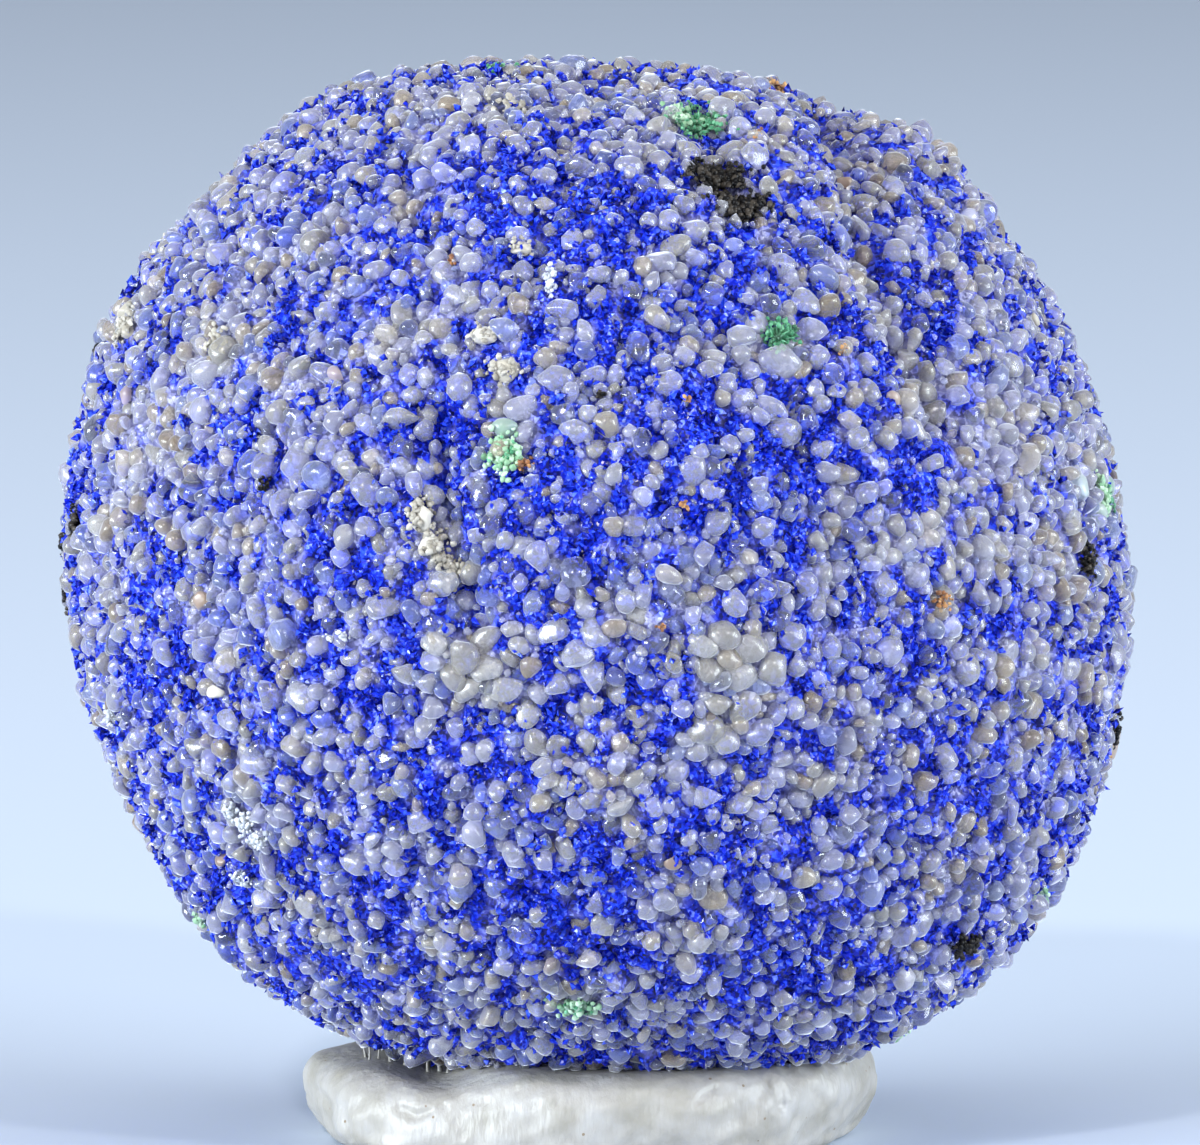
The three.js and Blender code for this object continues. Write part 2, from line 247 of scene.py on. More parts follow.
def surface_radius(directions):
    """How far the mean surface lies from the ball's centre in each direction."""
    radius = 1 / np.linalg.norm(directions / RADII, axis=1)
    for at, height, spread in swells:
        radius += height * fade(np.linalg.norm(directions - at, axis=1) * RADII[0], spread)
    for depth, width, run in furrows:
        radius -= depth * fade(distance_to_run(directions * RADII[0], run), width)
    return radius


def on_ball(directions, lift=0.0):
    """Places on the ball's mean surface, lifted by a distance along each direction."""
    directions = np.atleast_2d(directions)
    return np.array(BALL_CENTRE) + directions * (surface_radius(directions) + lift)[:, None]


check = surface_radius(even_directions(2000)) / MM
print(f"the ball's radius runs from {check.min():.2f} to {check.max():.2f} mm")

# %% [markdown]
# ## Where the sand shows and where the blue does
# Azurite didn't fill the sand evenly. Some places are nearly pure blue, and others are bare, pale sand,
# along old seams and around the milky knots. Painting a mask by hand would do for one side only. Here a
# smooth random field covers the whole ball, and the places that can be recognised in the photograph
# pull it towards sand or towards blue. A second, finer field breaks its edges into small patches. Both
# together decide the crust's colour, how many grains there are and which kinds, so the three agree.

# %% Make the map of sand and blue
SANDY_PLACES = [  # x, y and reach, in pixels of the photograph
    (145, 330, 34), (230, 350, 40), (290, 385, 34), (400, 345, 28), (150, 465, 38), (105, 525, 28),
    (310, 250, 28), (408, 150, 24), (415, 200, 24), (440, 98, 28), (500, 90, 28), (560, 92, 28),
    (600, 78, 30), (700, 110, 26), (725, 190, 30), (770, 345, 30), (858, 150, 20), (862, 210, 22),
    (868, 270, 22), (895, 330, 22), (925, 390, 26), (505, 430, 26), (430, 520, 20), (445, 570, 20),
    (480, 665, 36), (640, 605, 18), (735, 655, 34), (738, 715, 24), (690, 750, 18), (560, 775, 18),
    (620, 800, 22), (820, 780, 22), (895, 545, 34), (935, 605, 22), (1075, 490, 50), (1000, 440, 44),
    (1020, 670, 30), (1055, 560, 34), (325, 910, 28), (255, 815, 30), (578, 995, 24), (930, 870, 36),
    (690, 880, 32), (205, 620, 34), (600, 390, 22), (655, 270, 20), (850, 720, 24), (985, 560, 30),
]
BLUE_PLACES = [
    (490, 175, 60), (610, 222, 46), (690, 425, 46), (840, 405, 38), (900, 480, 26), (885, 220, 30),
    (930, 305, 32), (160, 685, 42), (245, 890, 36), (205, 835, 28), (530, 590, 24), (520, 510, 26),
    (640, 685, 46), (520, 795, 40), (710, 812, 44), (800, 940, 50), (830, 1010, 34), (960, 830, 30),
    (350, 575, 34), (445, 405, 26), (400, 262, 26), (790, 470, 40), (560, 330, 30), (780, 130, 28),
    (330, 195, 30), (590, 860, 34), (385, 735, 34), (900, 640, 28),
]
BROAD_BLUE = [(640, 420, 200), (600, 930, 160), (560, 190, 120)]
BROAD_SANDY = [(190, 420, 170), (1000, 480, 130)]
SAND_SHARE = 0.35  # the field's mean
SAND_WAVES = ((1.9 * MM, 0.07), (0.8 * MM, 0.1))  # wavelength and strength of its random part
PATCH_WAVE, PATCH_STRENGTH = 0.36 * MM, 0.21
SAND_PULLS = ((SANDY_PLACES, 0.5), (BLUE_PLACES, -0.25), (BROAD_BLUE, -0.12), (BROAD_SANDY, 0.1))


def photo_direction(x, y):
    """From the ball's centre to what is seen at a pixel of the photograph."""
    right = (x - BALL_MIDDLE_PIXEL[0]) * PIXEL / MM
    up = (BALL_MIDDLE_PIXEL[1] - y) * PIXEL / MM
    return seen_direction(right, up)


def smooth_noise(directions, wavelength, seed, waves=40):
    """A smooth random field over the ball, with a mean of 0 and a spread of 1."""
    rng = np.random.default_rng(seed)
    ways = unit(rng.normal(size=(waves, 3))) * rng.uniform(0.6, 1.4, (waves, 1))
    turns = directions * RADII[0] @ ways.T * 2 * math.pi / wavelength + rng.uniform(0, 2 * math.pi, waves)
    return np.sin(turns).sum(axis=1) / math.sqrt(waves / 2)


def sand_share(directions):
    """From 0, where azurite covers all, to 1, where only sand shows."""
    directions = np.atleast_2d(directions)
    share = np.full(len(directions), SAND_SHARE)
    for seed, (wavelength, strength) in enumerate(SAND_WAVES):
        share += strength * smooth_noise(directions, wavelength, 40 + seed)
    for places, pull in SAND_PULLS:
        for x, y, reach in places:
            away = np.linalg.norm(directions - photo_direction(x, y), axis=1) * RADII[0]
            share += pull * fade(away, reach * PIXEL)
    return np.clip(share, 0, 1)


def patchy_share(directions):
    """The sand's share, broken into finer patches, so that it also goes below 0 and above 1."""
    directions = np.atleast_2d(directions)
    return sand_share(directions) - PATCH_STRENGTH * smooth_noise(directions, PATCH_WAVE, 55)


share = sand_share(even_directions(4000))
print(f"sand shows on {share.mean():.0%} of the crust, blue is nearly pure on {(share < 0.15).mean():.0%}")

# %% [markdown]
# ## The crust of azurite
# Between the grains lies a druse: a crust of azurite crystals, each only a few hundredths of a millimetre
# long, whose flat faces flash bright or go nearly black as they turn from the light. A bump map on a
# smooth ball would look like frosting, because its outline and shadows stay smooth. A mesh as fine as
# the crystals, with each corner moved a little at random and its faces left flat, gives true facets.
# The icosahedron is divided by a whole number rather than by halving, which gets closest to the most
# faces that one piece should have.

# %% Helpers that build meshes
import bmesh


def divided_sphere(parts):
    """Directions and triangles of an icosahedron whose edges are each cut into that many parts."""
    start = bmesh.new()
    bmesh.ops.create_icosphere(start, subdivisions=1, radius=1)
    sides = [np.array([corner.co for corner in face.verts]) for face in start.faces]
    start.free()
    steps = [(i, j) for i in range(parts + 1) for j in range(parts + 1 - i)]
    number = {step: n for n, step in enumerate(steps)}
    triangles = []
    for i, j in steps:
        if i + j < parts:
            triangles.append((number[i, j], number[i + 1, j], number[i, j + 1]))
        if i + j < parts - 1:
            triangles.append((number[i + 1, j], number[i + 1, j + 1], number[i, j + 1]))
    weights = np.array([(parts - i - j, i, j) for i, j in steps]) / parts
    points = np.concatenate([weights @ side for side in sides])
    triangles = np.concatenate([np.array(triangles) + n * len(steps) for n in range(len(sides))])
    _, first, same = np.unique(np.round(points, 6), axis=0, return_index=True, return_inverse=True)
    return unit(points[first]), same.reshape(-1)[triangles]


def mesh_piece(name, corners, triangles, material, slot, smooth=True, faces=None, **spots):
    """A piece of the object. spots are numbers for each corner, and faces for each face, to colour by."""
    mesh = bpy.data.meshes.new(name)
    mesh.vertices.add(len(corners))
    mesh.vertices.foreach_set("co", np.asarray(corners, np.float32).ravel())
    mesh.loops.add(3 * len(triangles))
    mesh.loops.foreach_set("vertex_index", np.asarray(triangles, np.int32).ravel())
    mesh.polygons.add(len(triangles))
    mesh.polygons.foreach_set("loop_start", np.arange(0, 3 * len(triangles), 3, dtype=np.int32))
    mesh.update(calc_edges=True)
    if smooth:
        mesh.shade_smooth()
    else:
        mesh.shade_flat()
    for domain, values in (("POINT", spots), ("FACE", faces or {})):
        for label, numbers in values.items():
            stored = mesh.attributes.new(label, "FLOAT", domain)
            stored.data.foreach_set("value", np.asarray(numbers, np.float32))
    mesh.materials.append(material)
    piece = bpy.data.objects.new(name, mesh)
    scene.collection.objects.link(piece)
    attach(piece, "root")
    print(f"{name}: {len(triangles)} triangles")
    return piece


def new_material(name):
    """A material with its nodes, its links and its main shader."""
    material = bpy.data.materials.new(name)
    material.use_nodes = True
    tree = material.node_tree
    return material, tree.nodes, tree.links, tree.nodes["Principled BSDF"]


def number_of(nodes, label):
    """The output that gives a number stored with the mesh."""
    read = nodes.new("ShaderNodeAttribute")
    read.attribute_name = label
    return read.outputs["Fac"]


def plus_times(nodes, links, value, factor, addend):
    """value times factor, plus addend, which may be a number or an output."""
    sums = nodes.new("ShaderNodeMath")
    sums.operation = "MULTIPLY_ADD"
    links.new(value, sums.inputs[0])
    sums.inputs[1].default_value = factor
    if isinstance(addend, float):
        sums.inputs[2].default_value = addend
    else:
        links.new(addend, sums.inputs[2])
    return sums.outputs[0]


def colour_ramp(nodes, links, factor, stops):
    """Colours between stops of (place, red, green, blue)."""
    ramp = nodes.new("ShaderNodeValToRGB")
    while len(ramp.color_ramp.elements) < len(stops):
        ramp.color_ramp.elements.new(1.0)
    for element, (place, *rgb) in zip(ramp.color_ramp.elements, stops):
        element.position = place
        element.color = (*rgb, 1)
    links.new(factor, ramp.inputs["Fac"])
    return ramp.outputs["Color"]


def tint_between(nodes, links, tone, tints):
    """A colour from evenly spaced tints, from the first at tone 0 to the last at tone 1."""
    return colour_ramp(nodes, links, tone, [(n / (len(tints) - 1), *tint) for n, tint in enumerate(tints)])


def noise(nodes, links, place, size, detail):
    """Soft noise whose blots are about that size."""
    blots = nodes.new("ShaderNodeTexNoise")
    blots.inputs["Scale"].default_value = 1 / size
    blots.inputs["Detail"].default_value = detail
    links.new(place, blots.inputs["Vector"])
    return blots.outputs["Fac"]


def mix_colours(nodes, links, factor, first, second):
    """first where factor is 0, second where it is 1."""
    mix = nodes.new("ShaderNodeMix")
    mix.data_type = "RGBA"
    links.new(factor, mix.inputs["Factor"])
    for socket, colour in ((mix.inputs[6], first), (mix.inputs[7], second)):
        if isinstance(colour, tuple):
            socket.default_value = (*colour, 1)
        else:
            links.new(colour, socket)
    return mix.outputs[2]


# %% [markdown]
# Azurite is a deep blue that turns azure only where a crystal catches the light. A glossy blue paint
# would be one even colour. Here a cell pattern gives every tiny crystal a tone and a tilt of its own. A
# ramp turns the tone into a colour: its nearly black end is painted shade, then comes the deep blue, and
# its pale azure end is a painted glint. The crystals get these at random. Where sand shows, a paler,
# lavender grey ramp takes over, which stands for the powdery lime between the grains.

# %% The azurite's finish
CRYSTAL = 0.045 * MM


def druse(nodes, links, shader, size, tilt):
    """A number from 0 to 1 for each tiny crystal, while each turns the shader's normal its own way."""
    place = nodes.new("ShaderNodeTexCoord").outputs["Object"]
    cells = nodes.new("ShaderNodeTexVoronoi")
    cells.inputs["Scale"].default_value = 1 / size
    links.new(place, cells.inputs["Vector"])
    middle = nodes.new("ShaderNodeVectorMath")
    middle.operation = "SUBTRACT"
    links.new(cells.outputs["Color"], middle.inputs[0])
    middle.inputs[1].default_value = (0.5, 0.5, 0.5)
    lean = nodes.new("ShaderNodeVectorMath")
    lean.operation = "MULTIPLY_ADD"
    links.new(middle.outputs[0], lean.inputs[0])
    lean.inputs[1].default_value = (tilt, tilt, tilt)
    links.new(nodes.new("ShaderNodeNewGeometry").outputs["Normal"], lean.inputs[2])
    even = nodes.new("ShaderNodeVectorMath")
    even.operation = "NORMALIZE"
    links.new(lean.outputs[0], even.inputs[0])
    links.new(even.outputs[0], shader.inputs["Normal"])
    tone = nodes.new("ShaderNodeSeparateColor")
    links.new(cells.outputs["Color"], tone.inputs[0])
    return tone.outputs["Green"]


azurite, nodes, links, shader = new_material("azurite crust")
tone = nodes.new("ShaderNodeMix")
tone.inputs["Factor"].default_value = 0.5
links.new(number_of(nodes, "facet"), tone.inputs[2])
links.new(druse(nodes, links, shader, CRYSTAL, 0.9), tone.inputs[3])
# the deep blues, with painted shade at the nearly black end and a painted glint at the pale azure end,
# given to the crystals at random
blues_with_painted_shade_and_glints = colour_ramp(nodes, links, tone.outputs[0], [
    (0.0, 0.0, 0.001, 0.02), (0.3, 0.001, 0.003, 0.13), (0.52, 0.004, 0.016, 0.5), (0.76, 0.03, 0.085, 0.8),
    (1.0, 0.36, 0.46, 0.92)])
sands = colour_ramp(nodes, links, tone.outputs[0], [
    (0.0, 0.07, 0.07, 0.2), (0.5, 0.24, 0.24, 0.36), (1.0, 0.66, 0.64, 0.62)])
ground = mix_colours(nodes, links, number_of(nodes, "sand"), blues_with_painted_shade_and_glints, sands)
links.new(ground, shader.inputs["Base Color"])
shader.inputs["Roughness"].default_value = 0.2
shader.inputs["IOR"].default_value = 1.45
shader.inputs["Specular IOR Level"].default_value = 0.3

# %% [markdown]
# The crust's corners are pushed in and out in two ways: each by itself, which makes the crystals, and
# many together, which makes clumps. It lies a little deeper where sand shows, so that the grains there
# stand free.

# %% Grow the crust
CRUST_PARTS = 94
CORNER_SHIFT = 0.38  # how far a corner strays sideways, against the distance to the next
CRUST_DEPTH = 0.07 * MM  # its mean surface lies this far below the grains' middles
CRYSTAL_RISE = 0.05 * MM
SAND_SMOOTHS, SAND_LOWERS = 0.6, 0.6  # how much sand takes off the crystals' rise and adds to the depth
FACET_TONES = (2.0, 2.4)  # the two powers of the curve that the crystals' tones are drawn from
TONE_WAVE, TONE_STRENGTH = 0.4 * MM, 0.12
CLUMP_SIZE, CLUMP_RISE = 0.5 * MM, 0.045 * MM
PALE_FROM, PALE_STEEPNESS, PALEST = 0.34, 2.2, 0.85  # where the crust turns pale, how fast and how far
rng = np.random.default_rng(7)
directions, triangles = divided_sphere(CRUST_PARTS)
spacing = math.sqrt(4 * math.pi / len(directions))
directions = unit(directions + rng.uniform(-CORNER_SHIFT, CORNER_SHIFT, directions.shape) * spacing)
crystals = rng.uniform(-1, 1, len(directions)) * CRYSTAL_RISE
clumps = smooth_noise(directions, CLUMP_SIZE, 51) * CLUMP_RISE
crust_sand = np.clip((patchy_share(directions) - PALE_FROM) * PALE_STEEPNESS, 0, PALEST)
lift = crystals * (1 - SAND_SMOOTHS * crust_sand) + clumps
lift -= CRUST_DEPTH * (1 - SAND_LOWERS + SAND_LOWERS * crust_sand)
drift = TONE_STRENGTH * smooth_noise(unit(directions[triangles].mean(axis=1)), TONE_WAVE, 52)
facet = np.clip(rng.beta(*FACET_TONES, len(triangles)) + drift, 0, 1)
crust = mesh_piece("azurite_crust", on_ball(directions, lift), triangles, azurite, "azurite_sand",
                   smooth=False, sand=crust_sand, faces={"facet": facet})
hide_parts("concretion")

# %% [markdown]
# ## The sand grains
# The sand is well worn quartz: rounded grains of about a third of a millimetre, a little flattened, with
# frosted skins. A particle system would scatter spheres in a moment, but particles and instances don't
# leave Blender with the model, and they would overlap in ways that real sand can't. Here darts are
# thrown at the ball, and a grain stays only where it finds room among those already there. Where the
# crust is blue, some are taken away again by chance, which leaves the small bare patches of azurite. All
# grains of a kind are one joined mesh.

# %% Throw the darts
GRAIN_MEAN, GRAIN_SPREAD = 0.3 * MM, 0.075 * MM
GRAIN_RANGE = (0.18 * MM, 0.52 * MM)
CRUMB_RANGE = (0.1 * MM, 0.19 * MM)
CLOSENESS = 0.57  # how near two grains may lie, against the sum of their half sizes
CRUMB_CLOSENESS = 0.6
DARTS, CRUMB_DARTS = 75000, 45000
BIG_FIRST = 0.05 * MM  # big darts go first, so that small ones fill the gaps, but not strictly
PAD_TOP = 1.34 * MM
HIDDEN_BELOW = 0.7 * PAD_TOP  # no grain is needed lower on the ball, where the putty hides it
CELL = 0.5 * MM
NEIGHBOURS = [(i, j, k) for i in (-1, 0, 1) for j in (-1, 0, 1) for k in (-1, 0, 1)]
STAYS, STAYS_WITH_SAND = 0.5, 1.4  # a grain's chance of staying, and how it grows with the sand's share


def find_room(taken, directions, sizes, closeness):
    """Keeps the grains that find room, in the order given. taken is a dictionary of cells."""
    kept = []
    for n, (spot, size) in enumerate(zip(directions * RADII[0], sizes)):
        i, j, k = np.floor(spot / CELL).astype(int)
        x, y, z = spot
        near = (other for a, b, c in NEIGHBOURS for other in taken.get((i + a, j + b, k + c), ()))
        if all((x - a) ** 2 + (y - b) ** 2 + (z - c) ** 2 > (closeness * (size + other) / 2) ** 2
               for a, b, c, other in near):
            taken.setdefault((i, j, k), []).append((x, y, z, size))
            kept.append(n)
    return kept


def throw(rng, taken, sizes, least, closeness):
    """Directions, sizes and sand shares of the grains that stay. least is a grain's chance in pure blue."""
    thrown = unit(rng.normal(size=(len(sizes), 3)))
    turn = np.flatnonzero(on_ball(thrown)[:, 2] > HIDDEN_BELOW)
    turn = turn[np.argsort(-(sizes[turn] + rng.normal(0, BIG_FIRST, len(turn))))]
    kept = turn[find_room(taken, thrown[turn], sizes[turn], closeness)]
    share = patchy_share(thrown[kept])
    stays = rng.random(len(kept)) < np.clip(STAYS + STAYS_WITH_SAND * share, least, 1)
    return thrown[kept][stays], sizes[kept][stays], np.clip(share[stays], 0, 1)


# %% [markdown]
# Some two hundred grains can be told apart in the photograph: the milky knots, the pale arc below the
# middle and the grains that break the outline. Chance wouldn't put them there. They are named first, by
# the pixel where each is seen, and the darts then find room around them. Places where another mineral
# will grow are kept clear in the same way, because a loose grain would hide it.

# %% Name the grains that can be recognised
KNOWN_GRAINS = {  # by kind: x and y of the middle, width and height in pixels, turn in degrees
    "frosted": [
        (780, 365, 46, 34, 12), (714, 524, 25, 26, 0), (539, 558, 25, 31, 20), (626, 601, 22, 25, 0),
        (644, 594, 28, 24, 30), (553, 631, 33, 22, 20), (579, 652, 33, 29, 0), (593, 673, 26, 36, -25),
        (555, 684, 26, 22, 20), (672, 689, 20, 20, 0), (696, 748, 27, 24, 0), (649, 799, 26, 21, -10),
        (705, 792, 28, 22, -8), (763, 787, 28, 24, 10), (305, 97, 32, 26, 40), (268, 130, 30, 25, 45),
        (395, 72, 28, 24, 0), (568, 60, 30, 24, 0), (715, 60, 27, 24, 0), (1136, 650, 28, 34, 0),
        (667, 193, 21, 19, 0), (682, 214, 22, 20, 0), (715, 228, 17, 16, 0), (667, 232, 25, 22, 30),
        (657, 269, 34, 28, 0), (682, 305, 15, 14, 0), (598, 281, 26, 18, -10), (523, 274, 22, 24, 0),
        (682, 361, 22, 20, 0), (661, 370, 23, 22, 0), (664, 389, 34, 25, 0), (708, 374, 26, 20, -20),
        (594, 379, 26, 20, 0), (557, 384, 38, 26, 0), (545, 182, 28, 22, 20), (499, 134, 30, 28, 0),
        (528, 129, 26, 26, 0), (784, 129, 26, 24, 0), (779, 272, 28, 24, 0), (756, 325, 24, 28, 0),
        (741, 404, 28, 22, 0), (769, 412, 34, 30, 0), (466, 259, 26, 22, 0), (460, 302, 26, 20, -10),
        (562, 315, 34, 24, 0), (522, 412, 34, 24, 10), (207, 559, 22, 22, 0), (273, 468, 26, 30, 0),
        (305, 467, 40, 34, -30), (290, 505, 26, 30, 0), (213, 372, 24, 22, 0), (383, 362, 22, 20, 0),
        (413, 379, 20, 23, 0), (371, 429, 28, 19, -15), (374, 528, 21, 20, 0), (417, 487, 19, 29, 0),
        (443, 584, 36, 26, 0), (812, 392, 18, 20, 0), (831, 396, 20, 15, 0), (851, 442, 24, 22, 0),
        (820, 449, 22, 22, 0), (966, 435, 22, 20, 0), (93, 718, 20, 22, 0), (172, 651, 40, 29, 0),
        (213, 648, 28, 26, 0), (376, 788, 24, 19, 0), (437, 642, 28, 22, -30), (310, 694, 38, 32, 0),
        (279, 694, 24, 35, 0), (334, 731, 28, 20, 0), (264, 755, 38, 27, 0), (238, 717, 32, 24, 0),
        (425, 811, 30, 24, 0), (381, 829, 22, 18, 0), (363, 852, 34, 20, -20), (402, 855, 26, 22, 0),
        (363, 921, 26, 26, 0), (315, 957, 22, 15, 0),
    ],
    "clear": [
        (669, 519, 24, 21, 0), (646, 196, 21, 20, 0), (633, 297, 21, 26, 0), (664, 298, 21, 16, -30),
        (579, 290, 18, 22, 0), (639, 353, 24, 33, 30), (459, 372, 18, 26, 0), (805, 147, 26, 20, 0),
        (781, 250, 17, 26, 20), (808, 252, 34, 26, 0), (807, 420, 26, 28, 0), (264, 508, 28, 20, -35),
        (247, 357, 19, 17, 0), (204, 343, 22, 19, 0), (392, 753, 28, 22, 0), (403, 821, 24, 20, 0),
        (435, 872, 24, 26, 0),
    ],
    "blue": [
        (486, 595, 24, 23, 0), (636, 661, 21, 24, 0), (231, 564, 23, 20, 0), (842, 236, 24, 32, 10),
    ],
    "milky": [
        (635, 629, 19, 24, 25), (520, 645, 22, 18, 0), (486, 641, 33, 28, 0), (466, 655, 30, 34, 15),
        (488, 668, 32, 26, -10), (505, 688, 36, 24, -12), (470, 690, 30, 27, 0), (456, 676, 26, 30, 10),
        (592, 706, 24, 26, 0), (701, 644, 30, 25, 0), (671, 661, 18, 22, 0), (722, 634, 34, 28, -20),
        (748, 646, 36, 30, 15), (770, 668, 32, 36, 0), (738, 676, 34, 27, 10), (708, 668, 28, 26, 0),
        (742, 704, 30, 33, 0), (716, 700, 28, 24, 20), (706, 728, 36, 34, -10), (724, 738, 30, 27, 0),
        (528, 716, 27, 23, 60), (536, 740, 24, 26, 0), (545, 764, 26, 22, 20), (566, 782, 27, 21, 30),
        (592, 794, 28, 22, 10), (620, 800, 27, 23, 0), (822, 780, 33, 26, 8), (562, 984, 22, 18, 0),
        (592, 1008, 22, 18, 0), (673, 255, 30, 27, -20), (731, 149, 30, 24, 0), (690, 149, 28, 22, -20),
        (714, 158, 28, 20, 0), (510, 297, 17, 18, 0), (534, 394, 16, 15, 0), (190, 589, 20, 24, 0),
        (276, 450, 30, 21, 0), (301, 546, 25, 16, 20), (357, 474, 24, 19, 0), (272, 344, 23, 22, 0),
        (305, 372, 30, 24, 10), (404, 318, 22, 27, 0), (427, 343, 21, 16, 0), (402, 421, 42, 20, 5),
        (239, 395, 19, 15, 0), (877, 184, 26, 21, 0), (837, 211, 19, 14, 0), (865, 287, 18, 18, 0),
        (919, 352, 24, 24, 0), (1004, 369, 28, 26, 0), (973, 333, 22, 20, 0), (990, 409, 26, 26, 0),
        (1065, 414, 34, 24, 0), (877, 442, 24, 24, 0), (120, 713, 16, 18, 0), (205, 745, 30, 24, 0),
        (242, 813, 21, 17, 0), (311, 895, 30, 24, -20), (335, 925, 26, 18, 0), (394, 785, 24, 20, 0),
        (407, 672, 30, 21, -10), (298, 778, 28, 20, -40), (305, 658, 20, 18, 0), (435, 936, 22, 16, 0),
    ],
    "warm": [
        (440, 642, 24, 19, -20), (761, 226, 15, 20, 10), (279, 384, 26, 24, 0), (223, 339, 18, 22, 0),
        (261, 372, 19, 16, 0), (390, 339, 26, 18, 0), (112, 451, 24, 16, 10), (118, 530, 26, 26, 0),
        (868, 158, 15, 12, 0), (854, 197, 22, 22, 0), (863, 270, 26, 24, 0), (838, 353, 22, 20, 0),
        (964, 362, 22, 18, 0), (134, 763, 22, 26, 0), (233, 658, 24, 26, 20), (269, 898, 20, 16, 0),
    ],
    "tan": [
        (1106, 745, 30, 34, -20), (146, 822, 30, 26, -40), (670, 850, 19, 17, 0), (209, 600, 20, 19, 0),
        (858, 165, 22, 17, 0), (888, 403, 20, 12, -20), (230, 853, 17, 12, 0),
    ],
    "pink": [
        (140, 400, 15, 21, 0), (341, 378, 20, 14, -20),
    ],
    "green": [
        (1072, 488, 27, 30, 0), (1092, 512, 26, 24, 0), (1104, 486, 22, 24, 0), (506, 432, 28, 20, 0),
    ],
    "cream": [
        (522, 254, 21, 16, 15), (486, 340, 28, 19, -15), (507, 374, 27, 24, -20), (144, 320, 20, 22, 0),
        (143, 339, 25, 16, 0), (425, 520, 22, 27, 0), (431, 545, 18, 26, -20), (1030, 323, 15, 15, 0),
        (223, 689, 20, 14, 0),
    ],
}
KEPT_CLEAR = [  # x, y and width in pixels where no grain may lie, because another mineral grows there
    (718, 177, 60), (742, 208, 54), (728, 194, 50), (700, 112, 50), (702, 100, 40), (690, 122, 40),
    (1075, 560, 30), (940, 915, 34), (88, 525, 24), (775, 340, 40), (552, 284, 24), (575, 998, 26),
    (258, 816, 30), (245, 803, 26),
]
KNOWN_FLATNESS = 0.8  # a known grain's thickness against the mean of its width and height
KNOWN_LIFT = 0.02 * MM
LEAST_GRAINS, LEAST_CRUMBS = 0.35, 0.25  # the chance of staying in pure blue

known = {
    kind_name: [(photo_direction(x, y), width * PIXEL, height * PIXEL, math.radians(turn))
                for x, y, width, height, turn in spots]
    for kind_name, spots in KNOWN_GRAINS.items()
}

rng = np.random.default_rng(21)
taken = {}
known_ways = np.array([spot[0] for spots in known.values() for spot in spots])
known_sizes = np.array([(spot[1] + spot[2]) / 2 for spots in known.values() for spot in spots])
find_room(taken, known_ways, known_sizes, 0.0)
clear_ways = np.array([photo_direction(x, y) for x, y, _ in KEPT_CLEAR])
find_room(taken, clear_ways, np.array([width for _, _, width in KEPT_CLEAR]) * PIXEL, 0.0)
grain_sizes = np.clip(rng.normal(GRAIN_MEAN, GRAIN_SPREAD, DARTS), *GRAIN_RANGE)
thrown, sizes, share = throw(rng, taken, grain_sizes, LEAST_GRAINS, CLOSENESS)
crumbs = throw(rng, taken, rng.uniform(*CRUMB_RANGE, CRUMB_DARTS), LEAST_CRUMBS, CRUMB_CLOSENESS)
print(f"{len(sizes)} grains and {len(crumbs[0])} crumbs found room")

# %% [markdown]
# Each grain starts as one small divided sphere. Bending it, pressing eight of its sides a little flat,
# squashing it and turning it at random gives the worn, almost faceted look of river or desert sand, and
# no two grains are alike. All of it is done on whole arrays of corners, because a loop over thousands
# of grains would be slow. A grain's kind and a random tone go with it, for its material to read.

# %% Shape the grains and share them out among the kinds
SQUASH = ((0.66, 1.0), (0.58, 0.92))  # least and most of a grain's width and height against its length
FLATS = 8
FLAT_REACH = (0.52, 0.92)  # how far from the middle a flat lies, against the half size
FLAT_PRESS = 0.9
BEND = 0.35  # how far a grain bends towards a bean, against the half size
MOST_GRAINS = 3200  # in one piece, so that none has too many faces
HIDDEN_FACING = 0.3  # a face that looks this far down into the crust is left off
CRUMB, CRUMB_FACES = divided_sphere(1)
PEBBLE, PEBBLE_FACES = divided_sphere(2)
BIG_PEBBLE, BIG_PEBBLE_FACES = divided_sphere(3)


def random_turns(rng, count):
    """That many rotation matrices, spread evenly over all turns."""
    w, x, y, z = unit(rng.normal(size=(count, 4))).T
    return np.stack([
        1 - 2 * (y * y + z * z), 2 * (x * y - w * z), 2 * (x * z + w * y),
        2 * (x * y + w * z), 1 - 2 * (x * x + z * z), 2 * (y * z - w * x),
        2 * (x * z - w * y), 2 * (y * z + w * x), 1 - 2 * (x * x + y * y)], axis=1).reshape(-1, 3, 3)


def grain_corners(rng, middles, sizes, form):
    """The corners of worn grains with these middles and sizes, as one array for each grain."""
    count = len(middles)
    corners = np.repeat(form[None], count, axis=0)
    bend = rng.uniform(-BEND, BEND, (count, 1)) * corners[..., 0] ** 2
    corners = corners + np.stack([0 * bend, bend, 0 * bend], axis=2)
    for _ in range(FLATS):
        way = unit(rng.normal(size=(count, 3)))
        reach = rng.uniform(*FLAT_REACH, count)
        past = np.clip(np.einsum("gci,gi->gc", corners, way) - reach[:, None], 0, None)
        corners = corners - FLAT_PRESS * past[..., None] * way[:, None]
    corners[..., 1] *= rng.uniform(*SQUASH[0], (count, 1))
    corners[..., 2] *= rng.uniform(*SQUASH[1], (count, 1))
    corners = np.einsum("gij,gcj->gci", random_turns(rng, count), corners)
    return middles[:, None] + corners * sizes[:, None, None] / 2


